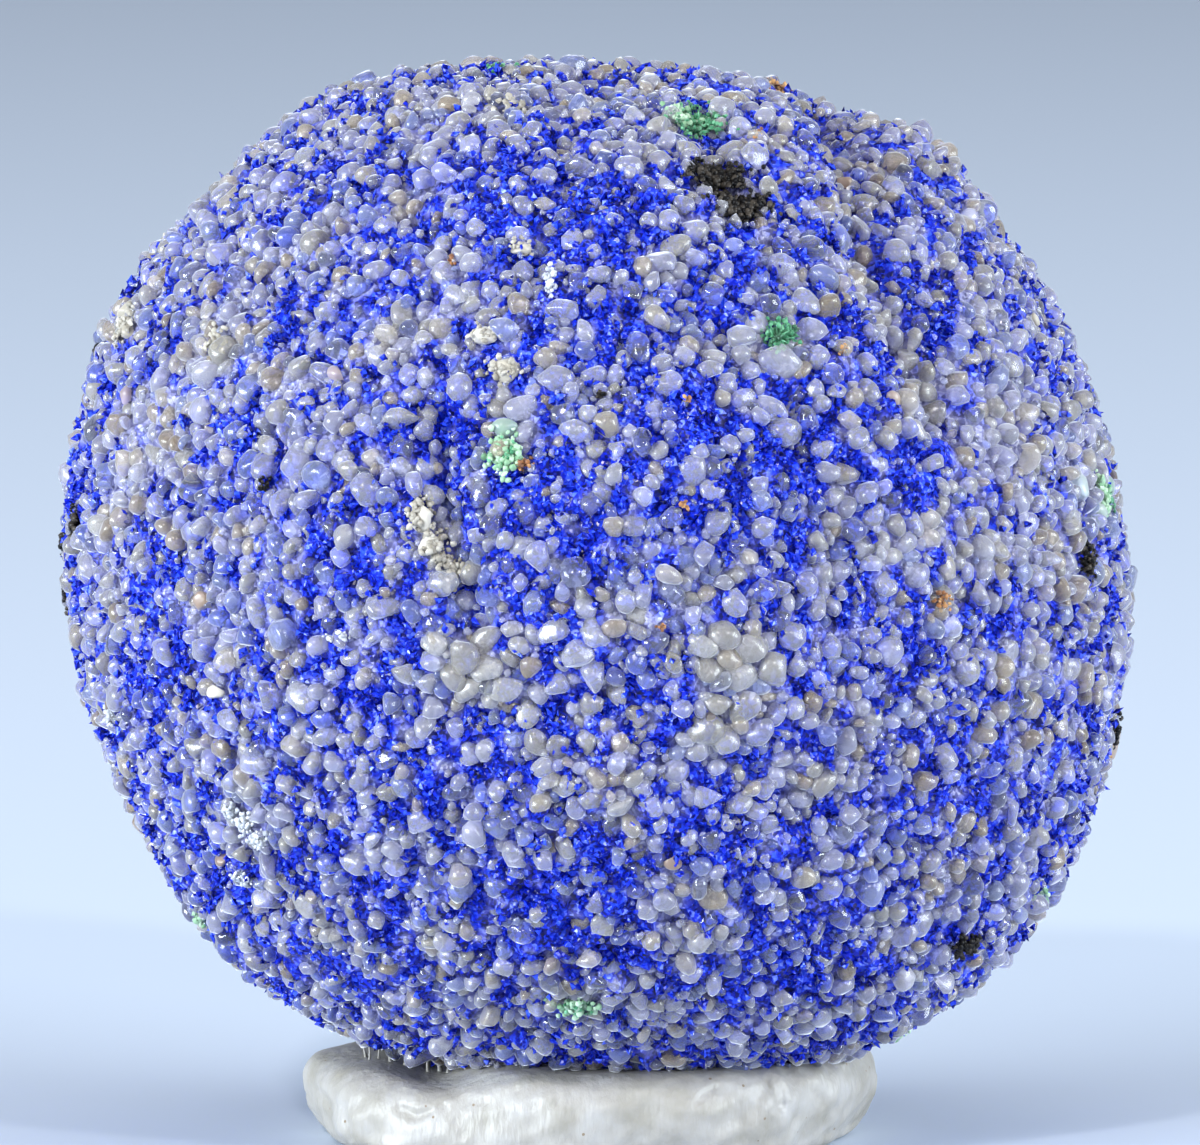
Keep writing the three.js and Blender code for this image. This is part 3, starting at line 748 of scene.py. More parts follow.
def add_shapes(name, corners, tones, share, material, faces):
    """Joined grains, in as many pieces as their faces ask for, from the top of the ball down."""
    form = corners[0]
    order = np.argsort(-corners[:, 0, 2])
    parts = math.ceil(len(order) * len(faces) / (MOST_GRAINS * len(PEBBLE_FACES)))
    for n, part in enumerate(np.array_split(order, parts)):
        joined = (faces[None] + len(form) * np.arange(len(part))[:, None, None]).reshape(-1, 3)
        label = name if parts == 1 else f"{name}_{n + 1}"
        outline = corners[part].reshape(-1, 3)
        offset = outline - np.array(BALL_CENTRE)
        reach = np.linalg.norm(offset, axis=1)
        rise = (reach - surface_radius(offset / reach[:, None])) / GRAIN_MEAN
        tone, sand = (np.repeat(values[part], len(form)) for values in (tones, share))
        spots = {"tone": tone, "rise": rise, "sand": sand}
        a, b, c = (outline[joined[:, side]] for side in range(3))
        facing = (unit(np.cross(b - a, c - a)) * unit(offset)[joined[:, 0]]).sum(axis=1)
        joined = joined[facing > -HIDDEN_FACING]
        used, joined = np.unique(joined, return_inverse=True)
        mesh_piece(label, outline[used], joined.reshape(-1, 3), material, "azurite_sand",
                   **{spot: values[used] for spot, values in spots.items()})


def add_grains(name, rng, middles, sizes, share, material, form=PEBBLE, faces=PEBBLE_FACES):
    """Joined worn grains of one kind, each with a random tone."""
    corners = grain_corners(rng, middles, sizes, form)
    add_shapes(name, corners, rng.random(len(middles)), share, material, faces)


# %% [markdown]
# Worn quartz is clear inside but frosted outside, so it glows with what lies under it. Plain glass would
# turn nearly black between dark crystals, and a white paint would look like chalk. A rough, mostly
# see-through shader with a pale sheen lies between the two. Noise clouds each grain, and the same noise,
# strongest at a grain's foot and where the crust is blue, paints the azurite that has crept up its sides.

# %% The finish of quartz
COATING = (0.01, 0.015, 0.5)  # the azurite's colour on a grain
COAT_BY_RISE, COAT_BY_SAND = -1.4, -0.5  # it thins out up a grain's side and where sand shows
COAT_EDGE = (0.68, 0.76)  # between these it goes from bare to coated
CLOUD_SIZE, CRUMB_SIZE = 0.16 * MM, 0.07 * MM


def quartz(name, tints, transmission, roughness, sheen, cloud=0.35, coat=0.85):
    """Worn quartz: tints from its darkest to its lightest grains, cloud and coat as shares of one."""
    material, nodes, links, shader = new_material(name)
    place = nodes.new("ShaderNodeTexCoord").outputs["Object"]
    clouds = noise(nodes, links, place, CLOUD_SIZE, 1)
    tone = plus_times(nodes, links, clouds, cloud, number_of(nodes, "tone"))
    clean = tint_between(nodes, links, plus_times(nodes, links, tone, 1.0, -cloud / 2), tints)
    crumbs = noise(nodes, links, place, CRUMB_SIZE, 2)
    coated = plus_times(nodes, links, number_of(nodes, "rise"), COAT_BY_RISE, crumbs)
    coated = plus_times(nodes, links, number_of(nodes, "sand"), COAT_BY_SAND, coated)
    edge = colour_ramp(nodes, links, coated, [(COAT_EDGE[0], 0, 0, 0), (COAT_EDGE[1], coat, coat, coat)])
    links.new(mix_colours(nodes, links, edge, clean, COATING), shader.inputs["Base Color"])
    shader.inputs["Transmission Weight"].default_value = transmission
    shader.inputs["Roughness"].default_value = roughness
    shader.inputs["IOR"].default_value = 1.54
    shader.inputs["Sheen Weight"].default_value = sheen
    shader.inputs["Sheen Roughness"].default_value = 0.4
    shader.inputs["Sheen Tint"].default_value = (0.9, 0.92, 1.0, 1)
    return material


KINDS = {  # share of the grains where the crust is blue, and where it is sandy
    "frosted_quartz": (0.54, 0.4),
    "clear_quartz": (0.1, 0.08),
    "blue_stained_quartz": (0.26, 0.04),
    "milky_quartz": (0.06, 0.2),
    "warm_quartz": (0.04, 0.28),
}
FINISHES = {  # name, tints from dark to light, transmission, roughness, sheen
    "frosted_quartz": quartz(
        "frosted quartz", [(0.68, 0.68, 0.86), (0.84, 0.83, 0.93), (0.95, 0.94, 0.96)],
        0.82, 0.24, 1.0),
    "clear_quartz": quartz(
        "clear quartz", [(0.7, 0.76, 0.95), (0.86, 0.9, 0.98), (0.95, 0.97, 1.0)],
        0.95, 0.13, 0.8),
    "blue_stained_quartz": quartz(
        "blue-stained quartz", [(0.26, 0.34, 0.86), (0.46, 0.54, 0.92), (0.68, 0.75, 0.96)],
        0.84, 0.23, 1.0),
    "milky_quartz": quartz(
        "milky quartz", [(0.62, 0.58, 0.5), (0.77, 0.73, 0.64), (0.9, 0.87, 0.8)],
        0.78, 0.25, 0.8),
    "warm_quartz": quartz(
        "warm quartz", [(0.6, 0.48, 0.34), (0.8, 0.7, 0.54), (0.91, 0.84, 0.72)],
        0.78, 0.24, 0.8),
}
GRAIN_LIFT = (-0.12 * MM, 0.07 * MM)  # the mean surface to a grain's middle, lowest and highest
CRUMB_LIFT = (-0.06 * MM, 0.09 * MM)
GRAIN_SINK = 0.07 * MM  # how much deeper grains sit where the crust is blue
OTHER_FINISHES = {
    "cream": quartz(
        "cream lime", [(0.4, 0.36, 0.29), (0.52, 0.48, 0.4), (0.62, 0.58, 0.51)],
        0.15, 0.4, 0.4),
    "tan": quartz(
        "tan quartz", [(0.32, 0.2, 0.12), (0.5, 0.36, 0.25), (0.66, 0.52, 0.4)],
        0.5, 0.3, 0.6),
    "pink": quartz(
        "pink quartz", [(0.56, 0.42, 0.4), (0.7, 0.56, 0.54), (0.82, 0.7, 0.68)],
        0.6, 0.3, 0.6),
    "green": quartz(
        "green-stained quartz", [(0.4, 0.6, 0.46), (0.6, 0.76, 0.64), (0.76, 0.88, 0.8)],
        0.6, 0.25, 0.8),
}
KNOWN_FINISHES = {name.split("_")[0]: finish for name, finish in FINISHES.items()} | OTHER_FINISHES
BIG_GRAIN = 0.46 * MM
SINK_FADE = 2.2  # how fast the sinking ends as sand sets in
KINDS_FROM, KINDS_STEEPNESS = 1 / 7, 1.4  # the sand's share from which the kinds change, and how fast

# %% [markdown]
# A named grain gets exactly the width, height and turn that it has in the picture, so its shape is
# stretched to fill that box and then laid flat against the ball. Its thickness can't be seen and is taken
# a little under its width.

# %% Place the named grains
for kind_name, spots in known.items():
    ways, widths, heights, turns = (np.array(values) for values in zip(*spots))
    offsets = grain_corners(rng, np.zeros((len(ways), 3)), np.full(len(ways), 2.0), BIG_PEBBLE)
    offsets -= (offsets.max(axis=1, keepdims=True) + offsets.min(axis=1, keepdims=True)) / 2
    offsets /= np.abs(offsets).max(axis=1, keepdims=True)
    offsets *= np.stack([widths, heights, KNOWN_FLATNESS * (widths + heights) / 2], axis=1)[:, None] / 2
    right = unit(np.cross(PICTURE_UP, ways) + 1e-6)
    above = np.cross(ways, right)
    cosine, sine = np.cos(turns)[:, None], np.sin(turns)[:, None]
    axes = np.stack([right * cosine + above * sine, above * cosine - right * sine, ways], axis=1)
    placed = on_ball(ways, KNOWN_LIFT)[:, None] + np.einsum("gca,gai->gci", offsets, axes)
    add_shapes(f"known_{kind_name}_grains", placed, rng.random(len(ways)), sand_share(ways),
               KNOWN_FINISHES[kind_name], BIG_PEBBLE_FACES)

# %% [markdown]
# The thrown grains are shared out among five kinds. Frosted and blue-stained ones are common where the
# crust is blue, milky and warm ones where sand shows. In the blue they also sit deeper, half drowned in
# crystals.

# %% Share the thrown grains out
sunk = GRAIN_SINK * np.clip(1 - SINK_FADE * patchy_share(thrown), 0, 1)
middles = on_ball(thrown, rng.uniform(*GRAIN_LIFT, len(thrown)) - sunk)
names = list(KINDS)
shares = np.array([KINDS[name] for name in names])
sandiness = np.clip((share - KINDS_FROM) * KINDS_STEEPNESS, 0, 1)
mixed = shares[:, :1] + (shares[:, 1:] - shares[:, :1]) * sandiness
limits = np.cumsum(mixed / mixed.sum(axis=0), axis=0)
kind = (rng.random(len(thrown)) > limits).sum(axis=0)
for n, name in enumerate(names):
    for label, chosen, form, faces in (
            (f"{name}_grains", (kind == n) & (sizes <= BIG_GRAIN), PEBBLE, PEBBLE_FACES),
            (f"{name}_big_grains", (kind == n) & (sizes > BIG_GRAIN), BIG_PEBBLE, BIG_PEBBLE_FACES)):
        add_grains(label, rng, middles[chosen], sizes[chosen], share[chosen], FINISHES[name], form, faces)

# %% [markdown]
# Between the grains lie splinters of quartz, too small to have a worn shape, and the azurite has grown
# over the flanks of many grains. Raising the crust would swallow the grains whole. Small pointed blades
# of azurite, scattered thickest where the map is blue, break up each grain's foot instead, as they do on
# the stone.

# %% Scatter the splinters and the blades
FROSTED_CRUMBS = 0.7  # their share, and the others are blue-stained
BLADES, MOST_BLADES = 44000, 15500  # thrown, and kept at most
BLADE_CHANCE, BLADE_LOSS = 1.1, 2.6  # its chance in pure blue, and what the sand's share takes off
BLADE_LENGTH, BLADE_WIDTH = (0.1 * MM, 0.28 * MM), (0.07 * MM, 0.17 * MM)
BLADE_LIFT = (-0.06 * MM, 0.1 * MM)
BLADE_TONES = (2.2, 2.0)
BLADE = np.array([(1, 0, 0), (0, 1, 0), (-0.6, 0, 0), (0, -1, 0), (0.1, 0, 1), (0.1, 0, -1)])
BLADE_FACES = np.array([
    (0, 1, 4), (1, 2, 4), (2, 3, 4), (3, 0, 4), (1, 0, 5), (2, 1, 5), (3, 2, 5), (0, 3, 5)])


def faces_of_blades(count):
    """The triangles of that many blades whose corners follow one another."""
    return (BLADE_FACES[None] + len(BLADE) * np.arange(count)[:, None, None]).reshape(-1, 3)


thrown, sizes, share = crumbs
middles = on_ball(thrown, rng.uniform(*CRUMB_LIFT, len(thrown)))
frosted = rng.random(len(thrown)) < FROSTED_CRUMBS
for name, chosen in (("frosted_quartz", frosted), ("blue_stained_quartz", ~frosted)):
    add_grains(f"{name}_crumbs", rng, middles[chosen], sizes[chosen], share[chosen], FINISHES[name],
               CRUMB, CRUMB_FACES)

thrown = unit(rng.normal(size=(BLADES, 3)))
wanted = rng.random(BLADES) < BLADE_CHANCE - BLADE_LOSS * patchy_share(thrown)
wanted &= on_ball(thrown)[:, 2] > HIDDEN_BELOW
thrown = thrown[np.flatnonzero(wanted)[:MOST_BLADES]]
count = len(thrown)
lengths = rng.uniform(*BLADE_LENGTH, (count, 1))
widths = rng.uniform(*BLADE_WIDTH, (count, 1))
shapes = BLADE[None] * np.stack([lengths, widths, 0.7 * widths], axis=2) / 2
shapes = np.einsum("gij,gcj->gci", random_turns(rng, count), shapes)
corners = on_ball(thrown, rng.uniform(*BLADE_LIFT, count))[:, None] + shapes
# each blade face takes a random tone on the crust's ramp, which runs from painted shade through deep blue
# to a painted glint
blade_shade_and_glint_tones = rng.beta(*BLADE_TONES, count * len(BLADE_FACES))
mesh_piece("azurite_blades", corners.reshape(-1, 3), faces_of_blades(count), azurite, "azurite_sand",
           smooth=False, sand=np.zeros(count * len(BLADE)), faces={"facet": blade_shade_and_glint_tones})

# %% [markdown]
# ## What grows on the sand
# Besides azurite there are small growths of other minerals: green malachite, some of it in silky tufts,
# bristly black oxide, cream crusts and rusty stains. Each is a heap of crumbs too small to tell apart,
# so a heap is scattered around the pixel where it is seen, dense in its middle and thin at its edge.
# The same heaps, with places drawn by chance, go on the back and the top, which the picture doesn't show.

# %% Finishes of the growths
def growth(name, tints, roughness, sheen=0.3, gloss=0.5):
    """A dull mineral in small crumbs, each with a tint of its own."""
    material, nodes, links, shader = new_material(name)
    grain = noise(nodes, links, nodes.new("ShaderNodeTexCoord").outputs["Object"], 0.05 * MM, 2)
    tone = plus_times(nodes, links, grain, 0.5, number_of(nodes, "tone"))
    tone = plus_times(nodes, links, tone, 1.0, -0.25)
    links.new(tint_between(nodes, links, tone, tints), shader.inputs["Base Color"])
    shader.inputs["Roughness"].default_value = roughness
    shader.inputs["Specular IOR Level"].default_value = gloss
    shader.inputs["Sheen Weight"].default_value = sheen
    return material


GROWTHS = {  # name, tints from dark to light, roughness, and where they differ sheen and gloss
    "malachite": growth("malachite", [(0.004, 0.075, 0.025), (0.02, 0.2, 0.08), (0.13, 0.4, 0.22)], 0.45),
    "mint_malachite": growth(
        "mint malachite", [(0.12, 0.28, 0.14), (0.28, 0.46, 0.29), (0.5, 0.66, 0.49)], 0.5),
    "black_oxide": growth(
        "black oxide", [(0.001, 0.001, 0.002), (0.005, 0.004, 0.004), (0.06, 0.05, 0.04)], 0.3, 0.0, 0.16),
    "cream_crust": growth("cream crust", [(0.2, 0.18, 0.14), (0.33, 0.3, 0.25), (0.47, 0.44, 0.38)], 0.45),
    "white_crust": growth("white crust", [(0.3, 0.32, 0.38), (0.48, 0.5, 0.54), (0.66, 0.68, 0.7)], 0.3),
    "rusty_stain": growth("rusty stain", [(0.1, 0.03, 0.006), (0.28, 0.1, 0.02), (0.5, 0.28, 0.1)], 0.55),
}

# %% [markdown]
# Each heap below stands where the picture has it. Needle tufts, which the next step raises, are listed
# with them. Heaps for the unseen sides are fewer and of one size.

# %% Scatter the heaps
HEAPS = [  # growth, x and y of the middle, reach across and up, all in pixels, crumbs
    ("malachite", 700, 112, 11, 15, 330), ("mint_malachite", 682, 106, 6, 10, 80),
    ("malachite", 777, 341, 9, 7, 150), ("malachite", 507, 455, 5, 7, 60),
    ("mint_malachite", 507, 455, 8, 11, 130), ("malachite", 575, 998, 6, 5, 70),
    ("mint_malachite", 575, 998, 12, 7, 50), ("mint_malachite", 1095, 497, 7, 11, 70),
    ("malachite", 1100, 497, 4, 7, 40), ("mint_malachite", 214, 906, 6, 3, 20),
    ("mint_malachite", 885, 1015, 7, 4, 16), ("mint_malachite", 1010, 870, 6, 5, 16),
    ("black_oxide", 718, 177, 13, 9, 420), ("black_oxide", 741, 208, 14, 7, 340),
    ("black_oxide", 1075, 560, 7, 9, 110), ("black_oxide", 940, 915, 8, 5, 90),
    ("black_oxide", 88, 525, 5, 8, 70), ("black_oxide", 277, 488, 4, 3, 26),
    ("black_oxide", 600, 402, 3, 2, 7), ("black_oxide", 100, 345, 3, 7, 40),
    ("cream_crust", 522, 254, 5, 4, 24), ("cream_crust", 487, 341, 6, 4, 30),
    ("cream_crust", 507, 375, 7, 5, 46), ("cream_crust", 144, 335, 7, 10, 70),
    ("cream_crust", 230, 350, 8, 7, 50), ("cream_crust", 424, 515, 5, 8, 80),
    ("cream_crust", 436, 545, 5, 9, 90), ("cream_crust", 450, 570, 5, 8, 60),
    ("cream_crust", 512, 90, 10, 8, 40), ("white_crust", 242, 802, 4, 5, 70),
    ("white_crust", 256, 815, 5, 6, 80), ("white_crust", 270, 830, 6, 4, 70),
    ("white_crust", 255, 869, 5, 4, 60), ("white_crust", 552, 286, 2.5, 9, 80),
    ("white_crust", 120, 713, 4, 5, 30), ("white_crust", 350, 633, 3, 3, 16),
    ("white_crust", 337, 636, 2, 2, 10), ("rusty_stain", 933, 600, 5, 4, 40),
    ("rusty_stain", 660, 625, 2, 2, 10), ("rusty_stain", 683, 405, 2, 2, 10),
    ("rusty_stain", 680, 507, 3, 2, 10), ("rusty_stain", 525, 467, 4, 3, 30),
    ("rusty_stain", 1108, 745, 5, 6, 16), ("rusty_stain", 755, 143, 2, 2, 8),
    ("rusty_stain", 838, 355, 3, 3, 16), ("rusty_stain", 453, 265, 3, 2, 14),
]
HEAP_SIZES = {  # least and most size of a growth's crumbs
    "malachite": (0.05 * MM, 0.11 * MM),
    "mint_malachite": (0.07 * MM, 0.15 * MM),
    "black_oxide": (0.06 * MM, 0.14 * MM),
    "cream_crust": (0.06 * MM, 0.14 * MM),
    "white_crust": (0.05 * MM, 0.11 * MM),
    "rusty_stain": (0.04 * MM, 0.1 * MM),
}
HEAP_LIFT = (0.02 * MM, 0.15 * MM)
HIDDEN_HEAPS = {
    "malachite": 5, "mint_malachite": 5, "black_oxide": 9,
    "cream_crust": 16, "white_crust": 4, "rusty_stain": 7,
}
HIDDEN_REACH, HIDDEN_CRUMBS, HIDDEN_TRIES = (9 * PIXEL, 7 * PIXEL), (24, 60), 400
TUFTS = [  # growth, x, y, needles, length in pixels
    ("malachite", 775, 343, 60, 30), ("malachite", 700, 110, 44, 20), ("malachite", 575, 994, 16, 14),
    ("black_oxide", 712, 174, 60, 15), ("black_oxide", 724, 182, 60, 15), ("black_oxide", 738, 206, 60, 14),
    ("black_oxide", 752, 210, 40, 13), ("black_oxide", 1075, 560, 30, 13), ("black_oxide", 88, 525, 20, 12),
]

rng = np.random.default_rng(77)
heaps = [(kind, photo_direction(x, y), across * PIXEL, up * PIXEL, count)
         for kind, x, y, across, up, count in HEAPS]
for kind, count in HIDDEN_HEAPS.items():
    ways = unit(rng.normal(size=(HIDDEN_TRIES, 3)))
    hidden = ways[(ways @ np.array(TO_CAMERA) < 0.1) & (ways[:, 2] > -0.7)]
    heaps += [(kind, way, *HIDDEN_REACH, int(rng.integers(*HIDDEN_CRUMBS))) for way in hidden[:count]]

crumbs_of = {}
for kind, way, across, up, count in heaps:
    side = unit(np.cross([0, 0, 1.0], way))
    over = np.cross(way, side)
    steps = rng.normal(size=(count, 2)) * [across / RADII[0], up / RADII[0]]
    ways = unit(way + steps[:, :1] * side + steps[:, 1:] * over)
    crumbs_of.setdefault(kind, []).append(on_ball(ways, rng.uniform(*HEAP_LIFT, count)))
for kind, groups in crumbs_of.items():
    middles = np.concatenate(groups)
    sizes = rng.uniform(*HEAP_SIZES[kind], len(middles))
    add_grains(f"{kind}_crumbs", rng, middles, sizes, np.ones(len(middles)), GROWTHS[kind],
               CRUMB, CRUMB_FACES)

# %% [markdown]
# The malachite and the black oxide end in sprays of needles. Hair would be the usual way, but hair isn't
# mesh. Each needle is the same pointed blade as the azurite's, drawn out long and thin, with all the
# needles of a tuft leaning out from one root.

# %% Raise the tufts
NEEDLE_WIDTH = 0.035 * MM
ROOT_LIFT = 0.08 * MM
LEAN = 1.1  # how far the needles spread out
needles = {}
for kind, x, y, count, length in TUFTS:
    root = photo_direction(x, y)
    leans = unit(root + LEAN * rng.normal(size=(count, 3)) * [1, 1, 0.5])
    leans = leans[leans @ root > 0.1]
    for lean in leans:
        long = length * PIXEL * rng.uniform(0.5, 1)
        across = unit(np.cross(lean, root + [0.01, 0.02, 0.03]))
        axes = np.stack([lean, across, np.cross(lean, across)])
        shape = BLADE * [long / 2, NEEDLE_WIDTH / 2, NEEDLE_WIDTH / 2]
        needles.setdefault(kind, []).append(on_ball(root, ROOT_LIFT)[0] + lean * long / 4 + shape @ axes)
for kind, shapes in needles.items():
    mesh_piece(f"{kind}_tufts", np.concatenate(shapes), faces_of_blades(len(shapes)), GROWTHS[kind],
               "azurite_sand", smooth=False, tone=np.repeat(rng.random(len(shapes)), len(BLADE)))

# %% [markdown]
# ## The putty
# The ball stands on a wad of white mounting putty, pressed flat by the plate below and by the ball
# above, with a rolled edge that fingers have rippled. Modelling it from a cylinder would leave the
# edge too even. Here a rounded outline is swept around in rings, its top is pushed down wherever the
# ball would be in the way, and soft noise adds the kneaded lumps.

# %% Press the putty
PAD_WIDTH, PAD_DEPTH, PAD_CENTRE_X = 7.9 * MM, 6.7 * MM, -0.13 * MM
PAD_STEPS, PAD_RINGS = 260, 70
PAD_ROLLS = ((-3.5, -0.1, 0.7), (-2.1, -0.28, 0.7), (3.2, 0.08, 0.9))  # x, height and spread in mm
PAD_LUMPS = ((2.2, 0.06), (0.8, 0.018), (0.3, 0.01))  # size and depth in mm
PAD_RIPPLES = ((5, 0.025, 0.7), (11, 0.012, 0.0))
PAD_EDGE = np.array([  # half of its section: share of the half width, share of the height
    (0, 0), (0.45, 0), (0.84, 0), (0.9, 0), (0.945, 0.07), (0.975, 0.2), (1, 0.48), (0.985, 0.76),
    (0.93, 0.94), (0.84, 1), (0.62, 1), (0.34, 1), (0, 1)])
EDGE_SOFTENING = 11  # how many steps along the section are averaged


def ball_underside(x, y):
    """The height of the ball's underside above a place on the floor."""
    height = np.full(len(x), BALL_CENTRE.z - RADII[2])
    for _ in range(4):
        offset = np.stack([x, y, height - BALL_CENTRE.z], axis=1)
        reach = surface_radius(unit(offset))
        height = BALL_CENTRE.z - np.sqrt(np.clip(reach**2 - x**2 - y**2, 0, None))
    return height


along = np.linspace(0, len(PAD_EDGE) - 1, PAD_RINGS)
section = [np.interp(along, range(len(PAD_EDGE)), column) for column in PAD_EDGE.T]
section = [np.pad(column, EDGE_SOFTENING // 2, mode="edge") for column in section]
reach, rise = (np.convolve(column, np.ones(EDGE_SOFTENING) / EDGE_SOFTENING, "valid") for column in section)
turn = np.arange(PAD_STEPS) * 2 * math.pi / PAD_STEPS
ripple = 1 + sum(depth * np.sin(turns * turn + start) for turns, depth, start in PAD_RIPPLES)
x = (PAD_WIDTH / 2) * reach[1:-1, None] * ripple * np.cos(turn)
y = (PAD_DEPTH / 2) * reach[1:-1, None] * ripple * np.sin(turn)
top = PAD_TOP + sum(height * MM * fade(x - at * MM, spread * MM) for at, height, spread in PAD_ROLLS)
z = rise[1:-1, None] * top
x, y, z = (values.ravel() for values in (x + PAD_CENTRE_X, y, z))
foot_middle, top_middle = [[PAD_CENTRE_X, 0, 0]], [[PAD_CENTRE_X, 0, PAD_TOP]]
corners = np.concatenate([foot_middle, np.stack([x, y, z], axis=1), top_middle])
rings = PAD_RINGS - 2
ring, step = np.meshgrid(np.arange(rings - 1), np.arange(PAD_STEPS), indexing="ij")
a, b = 1 + ring * PAD_STEPS + step, 1 + ring * PAD_STEPS + (step + 1) % PAD_STEPS
below, above = (a, b, b + PAD_STEPS), (a, b + PAD_STEPS, a + PAD_STEPS)
sides = np.concatenate([np.stack(half, -1).reshape(-1, 3) for half in (below, above)])
step = np.arange(PAD_STEPS)
beyond = (step + 1) % PAD_STEPS
foot = np.stack([np.zeros(PAD_STEPS, int), 1 + beyond, 1 + step], axis=1)
last = 1 + (rings - 1) * PAD_STEPS
crown = np.stack([np.full(PAD_STEPS, len(corners) - 1), last + step, last + beyond], axis=1)
pad_triangles = np.concatenate([foot, sides, crown])

lumps = 0
for seed, (wavelength, depth) in enumerate(PAD_LUMPS):
    lumps = lumps + depth * MM * smooth_noise(corners / RADII[0], wavelength * MM, 61 + seed)
outward = unit(corners - np.array([PAD_CENTRE_X, 0, 0.45 * PAD_TOP])) * [1, 1, 0.6]
loose = np.clip(corners[:, 2] / (0.2 * MM), 0, 1)

# %% [markdown]
# Creases seen on the front are drawn as runs of pixels and pressed in along them, and small pits are
# pressed in all around. At last everything that would stick into the ball is pushed down to just below
# its surface, which makes the dish that the ball lies in.

# %% Crease it, pit it and set it under the ball
CREASES = [  # depth and width in mm, and the pixels of the photograph that each runs through
    (0.11, 0.05, [(752, 1062), (764, 1072), (773, 1086), (776, 1102)]),
    (0.06, 0.05, [(462, 1092), (458, 1110), (462, 1130)]),
    (0.05, 0.04, [(346, 1104), (352, 1120), (358, 1136)]),
    (0.06, 0.05, [(398, 1104), (412, 1112), (424, 1106)]),
    (0.04, 0.035, [(436, 1098), (446, 1104), (440, 1114)]),
    (0.05, 0.04, [(690, 1098), (700, 1086), (712, 1082)]),
    (0.04, 0.04, [(780, 1098), (792, 1112), (786, 1130)]),
    (0.04, 0.035, [(806, 1082), (818, 1096), (838, 1110)]), (0.04, 0.04, [(322, 1090), (330, 1112)]),
]
PITS, PIT_DEPTH, PIT_REACH = 260, (0.012 * MM, 0.045 * MM), (0.035 * MM, 0.1 * MM)
DISH_GAP, LEAST_PUTTY = 0.02 * MM, 0.1 * MM


def photo_pixels(points):
    """Where points are seen in the photograph."""
    offset = points - np.array(BALL_CENTRE)
    across = BALL_MIDDLE_PIXEL[0] + offset @ np.array(PICTURE_RIGHT) / PIXEL
    down = BALL_MIDDLE_PIXEL[1] - offset @ np.array(PICTURE_UP) / PIXEL
    return np.stack([across, down], axis=1)


def pressed(points, rng):
    """How deep the creases on the front and the pits all around reach at each point."""
    seen = photo_pixels(points)
    depth = np.zeros(len(points))
    for deep, width, run in CREASES:
        depth += deep * MM * fade(distance_to_run(seen, np.array(run, float)), width * MM / PIXEL)
    depth *= points[:, 1] < -0.5 * MM
    for at in points[rng.integers(0, len(points), PITS)]:
        deep = rng.uniform(*PIT_DEPTH)
        depth += deep * fade(np.linalg.norm(points - at, axis=1), rng.uniform(*PIT_REACH))
    return depth


rng = np.random.default_rng(64)
corners = corners + outward * ((lumps - pressed(corners, rng)) * loose)[:, None]
corners[:, 2] = np.clip(corners[:, 2], 0, None)
under = ball_underside(corners[:, 0], corners[:, 1]) - DISH_GAP
corners[:, 2] = np.minimum(corners[:, 2], np.maximum(under, LEAST_PUTTY))

# %% [markdown]
# Putty is dull white with a greasy shine, slightly yellow where it is thick, and full of tiny specks that
# it has picked up. Soft noise mottles it, and a cell pattern, cut off close to each cell's middle, makes
# the specks. A bump of noise drawn out upwards gives the fine strings that pulling leaves.

# %% The putty's finish
putty, nodes, links, shader = new_material("white putty")
place = nodes.new("ShaderNodeTexCoord").outputs["Object"]
whites = colour_ramp(nodes, links, noise(nodes, links, place, 0.5 * MM, 8), [
    (0.3, 0.26, 0.245, 0.21), (0.5, 0.32, 0.305, 0.28), (0.7, 0.37, 0.36, 0.345)])
specks = nodes.new("ShaderNodeTexVoronoi")
specks.inputs["Scale"].default_value = 1 / (0.3 * MM)
links.new(place, specks.inputs["Vector"])
picked = nodes.new("ShaderNodeMath")
picked.operation = "LESS_THAN"
links.new(specks.outputs["Distance"], picked.inputs[0])
picked.inputs[1].default_value = 0.07
specked = mix_colours(nodes, links, picked.outputs[0], whites, (0.2, 0.15, 0.1))
links.new(specked, shader.inputs["Base Color"])
drawn = nodes.new("ShaderNodeVectorMath")
drawn.operation = "MULTIPLY"
links.new(place, drawn.inputs[0])
drawn.inputs[1].default_value = (1, 1, 0.3)
bump = nodes.new("ShaderNodeBump")
bump.inputs["Strength"].default_value = 0.9
bump.inputs["Distance"].default_value = 0.03 * MM
links.new(noise(nodes, links, drawn.outputs[0], 0.11 * MM, 4), bump.inputs["Height"])
links.new(bump.outputs["Normal"], shader.inputs["Normal"])
shader.inputs["Roughness"].default_value = 0.44
pad = mesh_piece("putty_pad", corners, pad_triangles, putty, "putty")
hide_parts("mounting_putty")

# %% [markdown]
# On the left the ball has been tipped away from the putty, which is sticky enough to be pulled up in
# peaks and drawn out into threads as thin as a hair. Each is a small tube that is wide at both ends and
# thin in the middle. Its lower end is sunk in the putty and its upper end in the crust, so that it holds
# from any side.

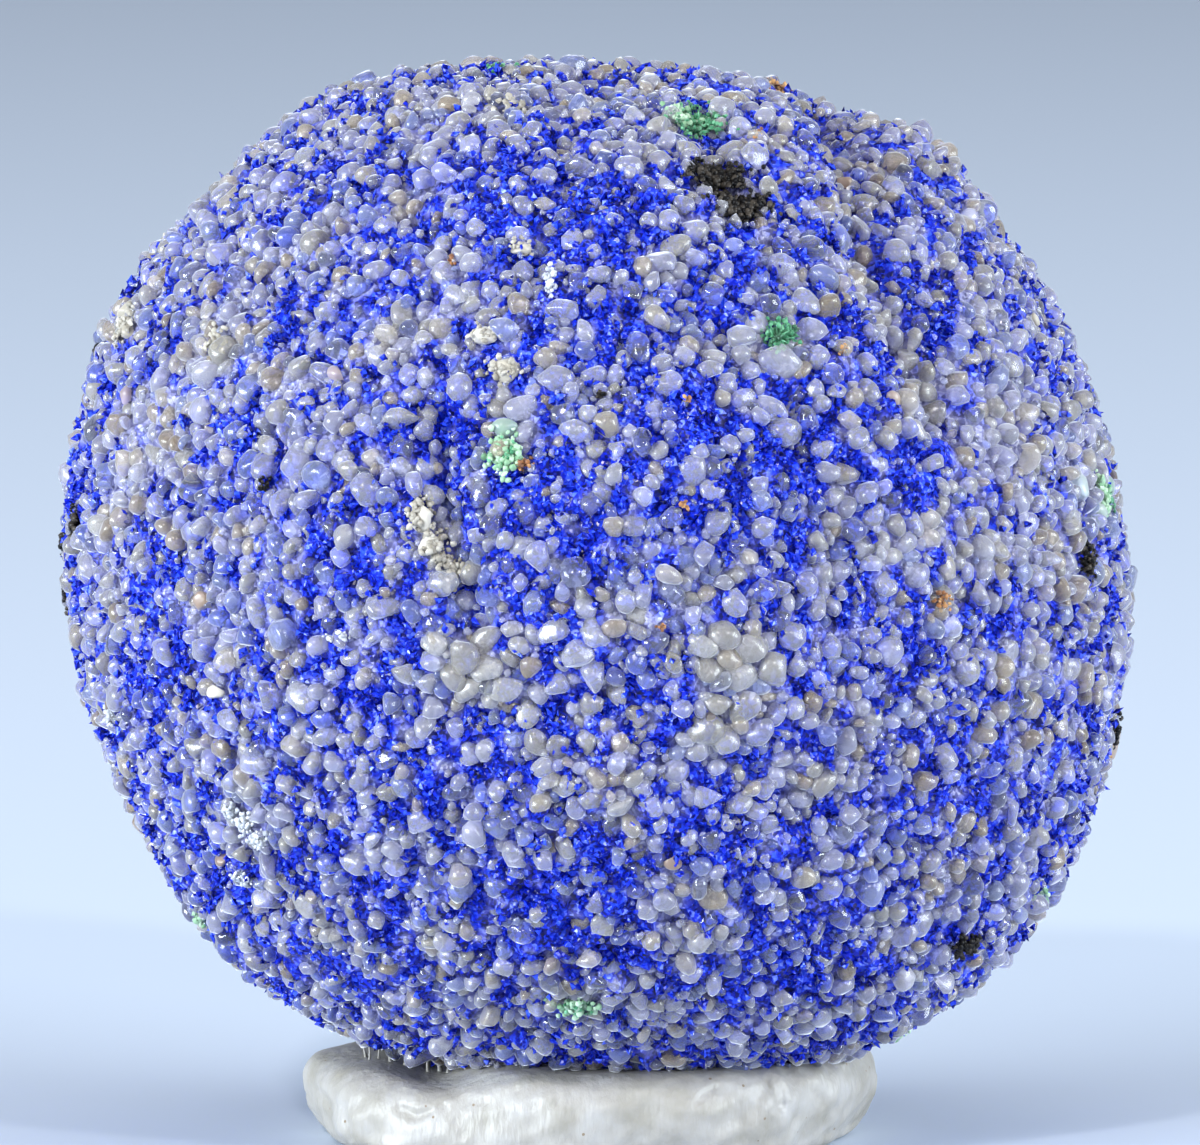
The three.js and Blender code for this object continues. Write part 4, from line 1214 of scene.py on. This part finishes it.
# %% Draw the threads and peaks
THREADS = [  # pixel x below and above, depth towards the camera in mm, thickness in mm
    (366, 362, 0.55, 0.05), (370, 366, 0.8, 0.035), (381, 377, 0.7, 0.045), (392, 389, 0.9, 0.05),
    (398, 396, 0.5, 0.03), (406, 408, 1.0, 0.06), (418, 416, 0.8, 0.07), (430, 428, 1.1, 0.06),
    (440, 436, 0.9, 0.09), (449, 452, 1.2, 0.07), (461, 462, 1.1, 0.08), (425, 421, 0.2, 0.06),
    (388, 385, 0.1, 0.05), (455, 457, 0.5, 0.07),
]
THREAD_WAIST = 0.3  # the thickness half way, against that at the ends
THREAD_RINGS, THREAD_SIDES = 9, 6
THREAD_SINK = 0.12 * MM


def height_of_pad(x, y):
    """The height of the putty's upper face nearest to a place."""
    upper = corners[corners[:, 2] > 0.4 * PAD_TOP]
    return upper[np.argmin((upper[:, 0] - x) ** 2 + (upper[:, 1] - y) ** 2)][2]


thread_corners, thread_faces = [], []
along = np.linspace(0, 1, THREAD_RINGS)
turn = np.arange(THREAD_SIDES) * 2 * math.pi / THREAD_SIDES
for low, high, towards, thick in THREADS:
    foot_x, head_x = ((px - BALL_MIDDLE_PIXEL[0]) * PIXEL for px in (low, high))
    y = -towards * MM
    foot_z = height_of_pad(foot_x, y) - THREAD_SINK
    head_z = ball_underside(np.array([head_x]), np.array([y]))[0] + THREAD_SINK
    half = thick * MM * (THREAD_WAIST + (1 - THREAD_WAIST) * np.abs(2 * along - 1) ** 2)
    x = foot_x + (head_x - foot_x) * along + 0.02 * MM * np.sin(along * 5 + low)
    z = foot_z + (head_z - foot_z) * along
    ring_x = x[:, None] + half[:, None] * np.cos(turn)
    ring_y = y + half[:, None] * np.sin(turn)
    ring_z = np.repeat(z[:, None], THREAD_SIDES, axis=1)
    start = sum(len(part) for part in thread_corners)
    thread_corners.append(np.stack([ring_x, ring_y, ring_z], -1).reshape(-1, 3))
    for ring in range(THREAD_RINGS - 1):
        for side in range(THREAD_SIDES):
            a, b = (start + ring * THREAD_SIDES + k % THREAD_SIDES for k in (side, side + 1))
            thread_faces += [(a, b, b + THREAD_SIDES), (a, b + THREAD_SIDES, a + THREAD_SIDES)]
mesh_piece("putty_threads", np.concatenate(thread_corners), np.array(thread_faces), putty, "putty")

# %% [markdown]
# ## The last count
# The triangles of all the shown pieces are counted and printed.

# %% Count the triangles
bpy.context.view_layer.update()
triangle_total = sum(len(piece.data.polygons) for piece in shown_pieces())
print("triangles in all:", triangle_total)
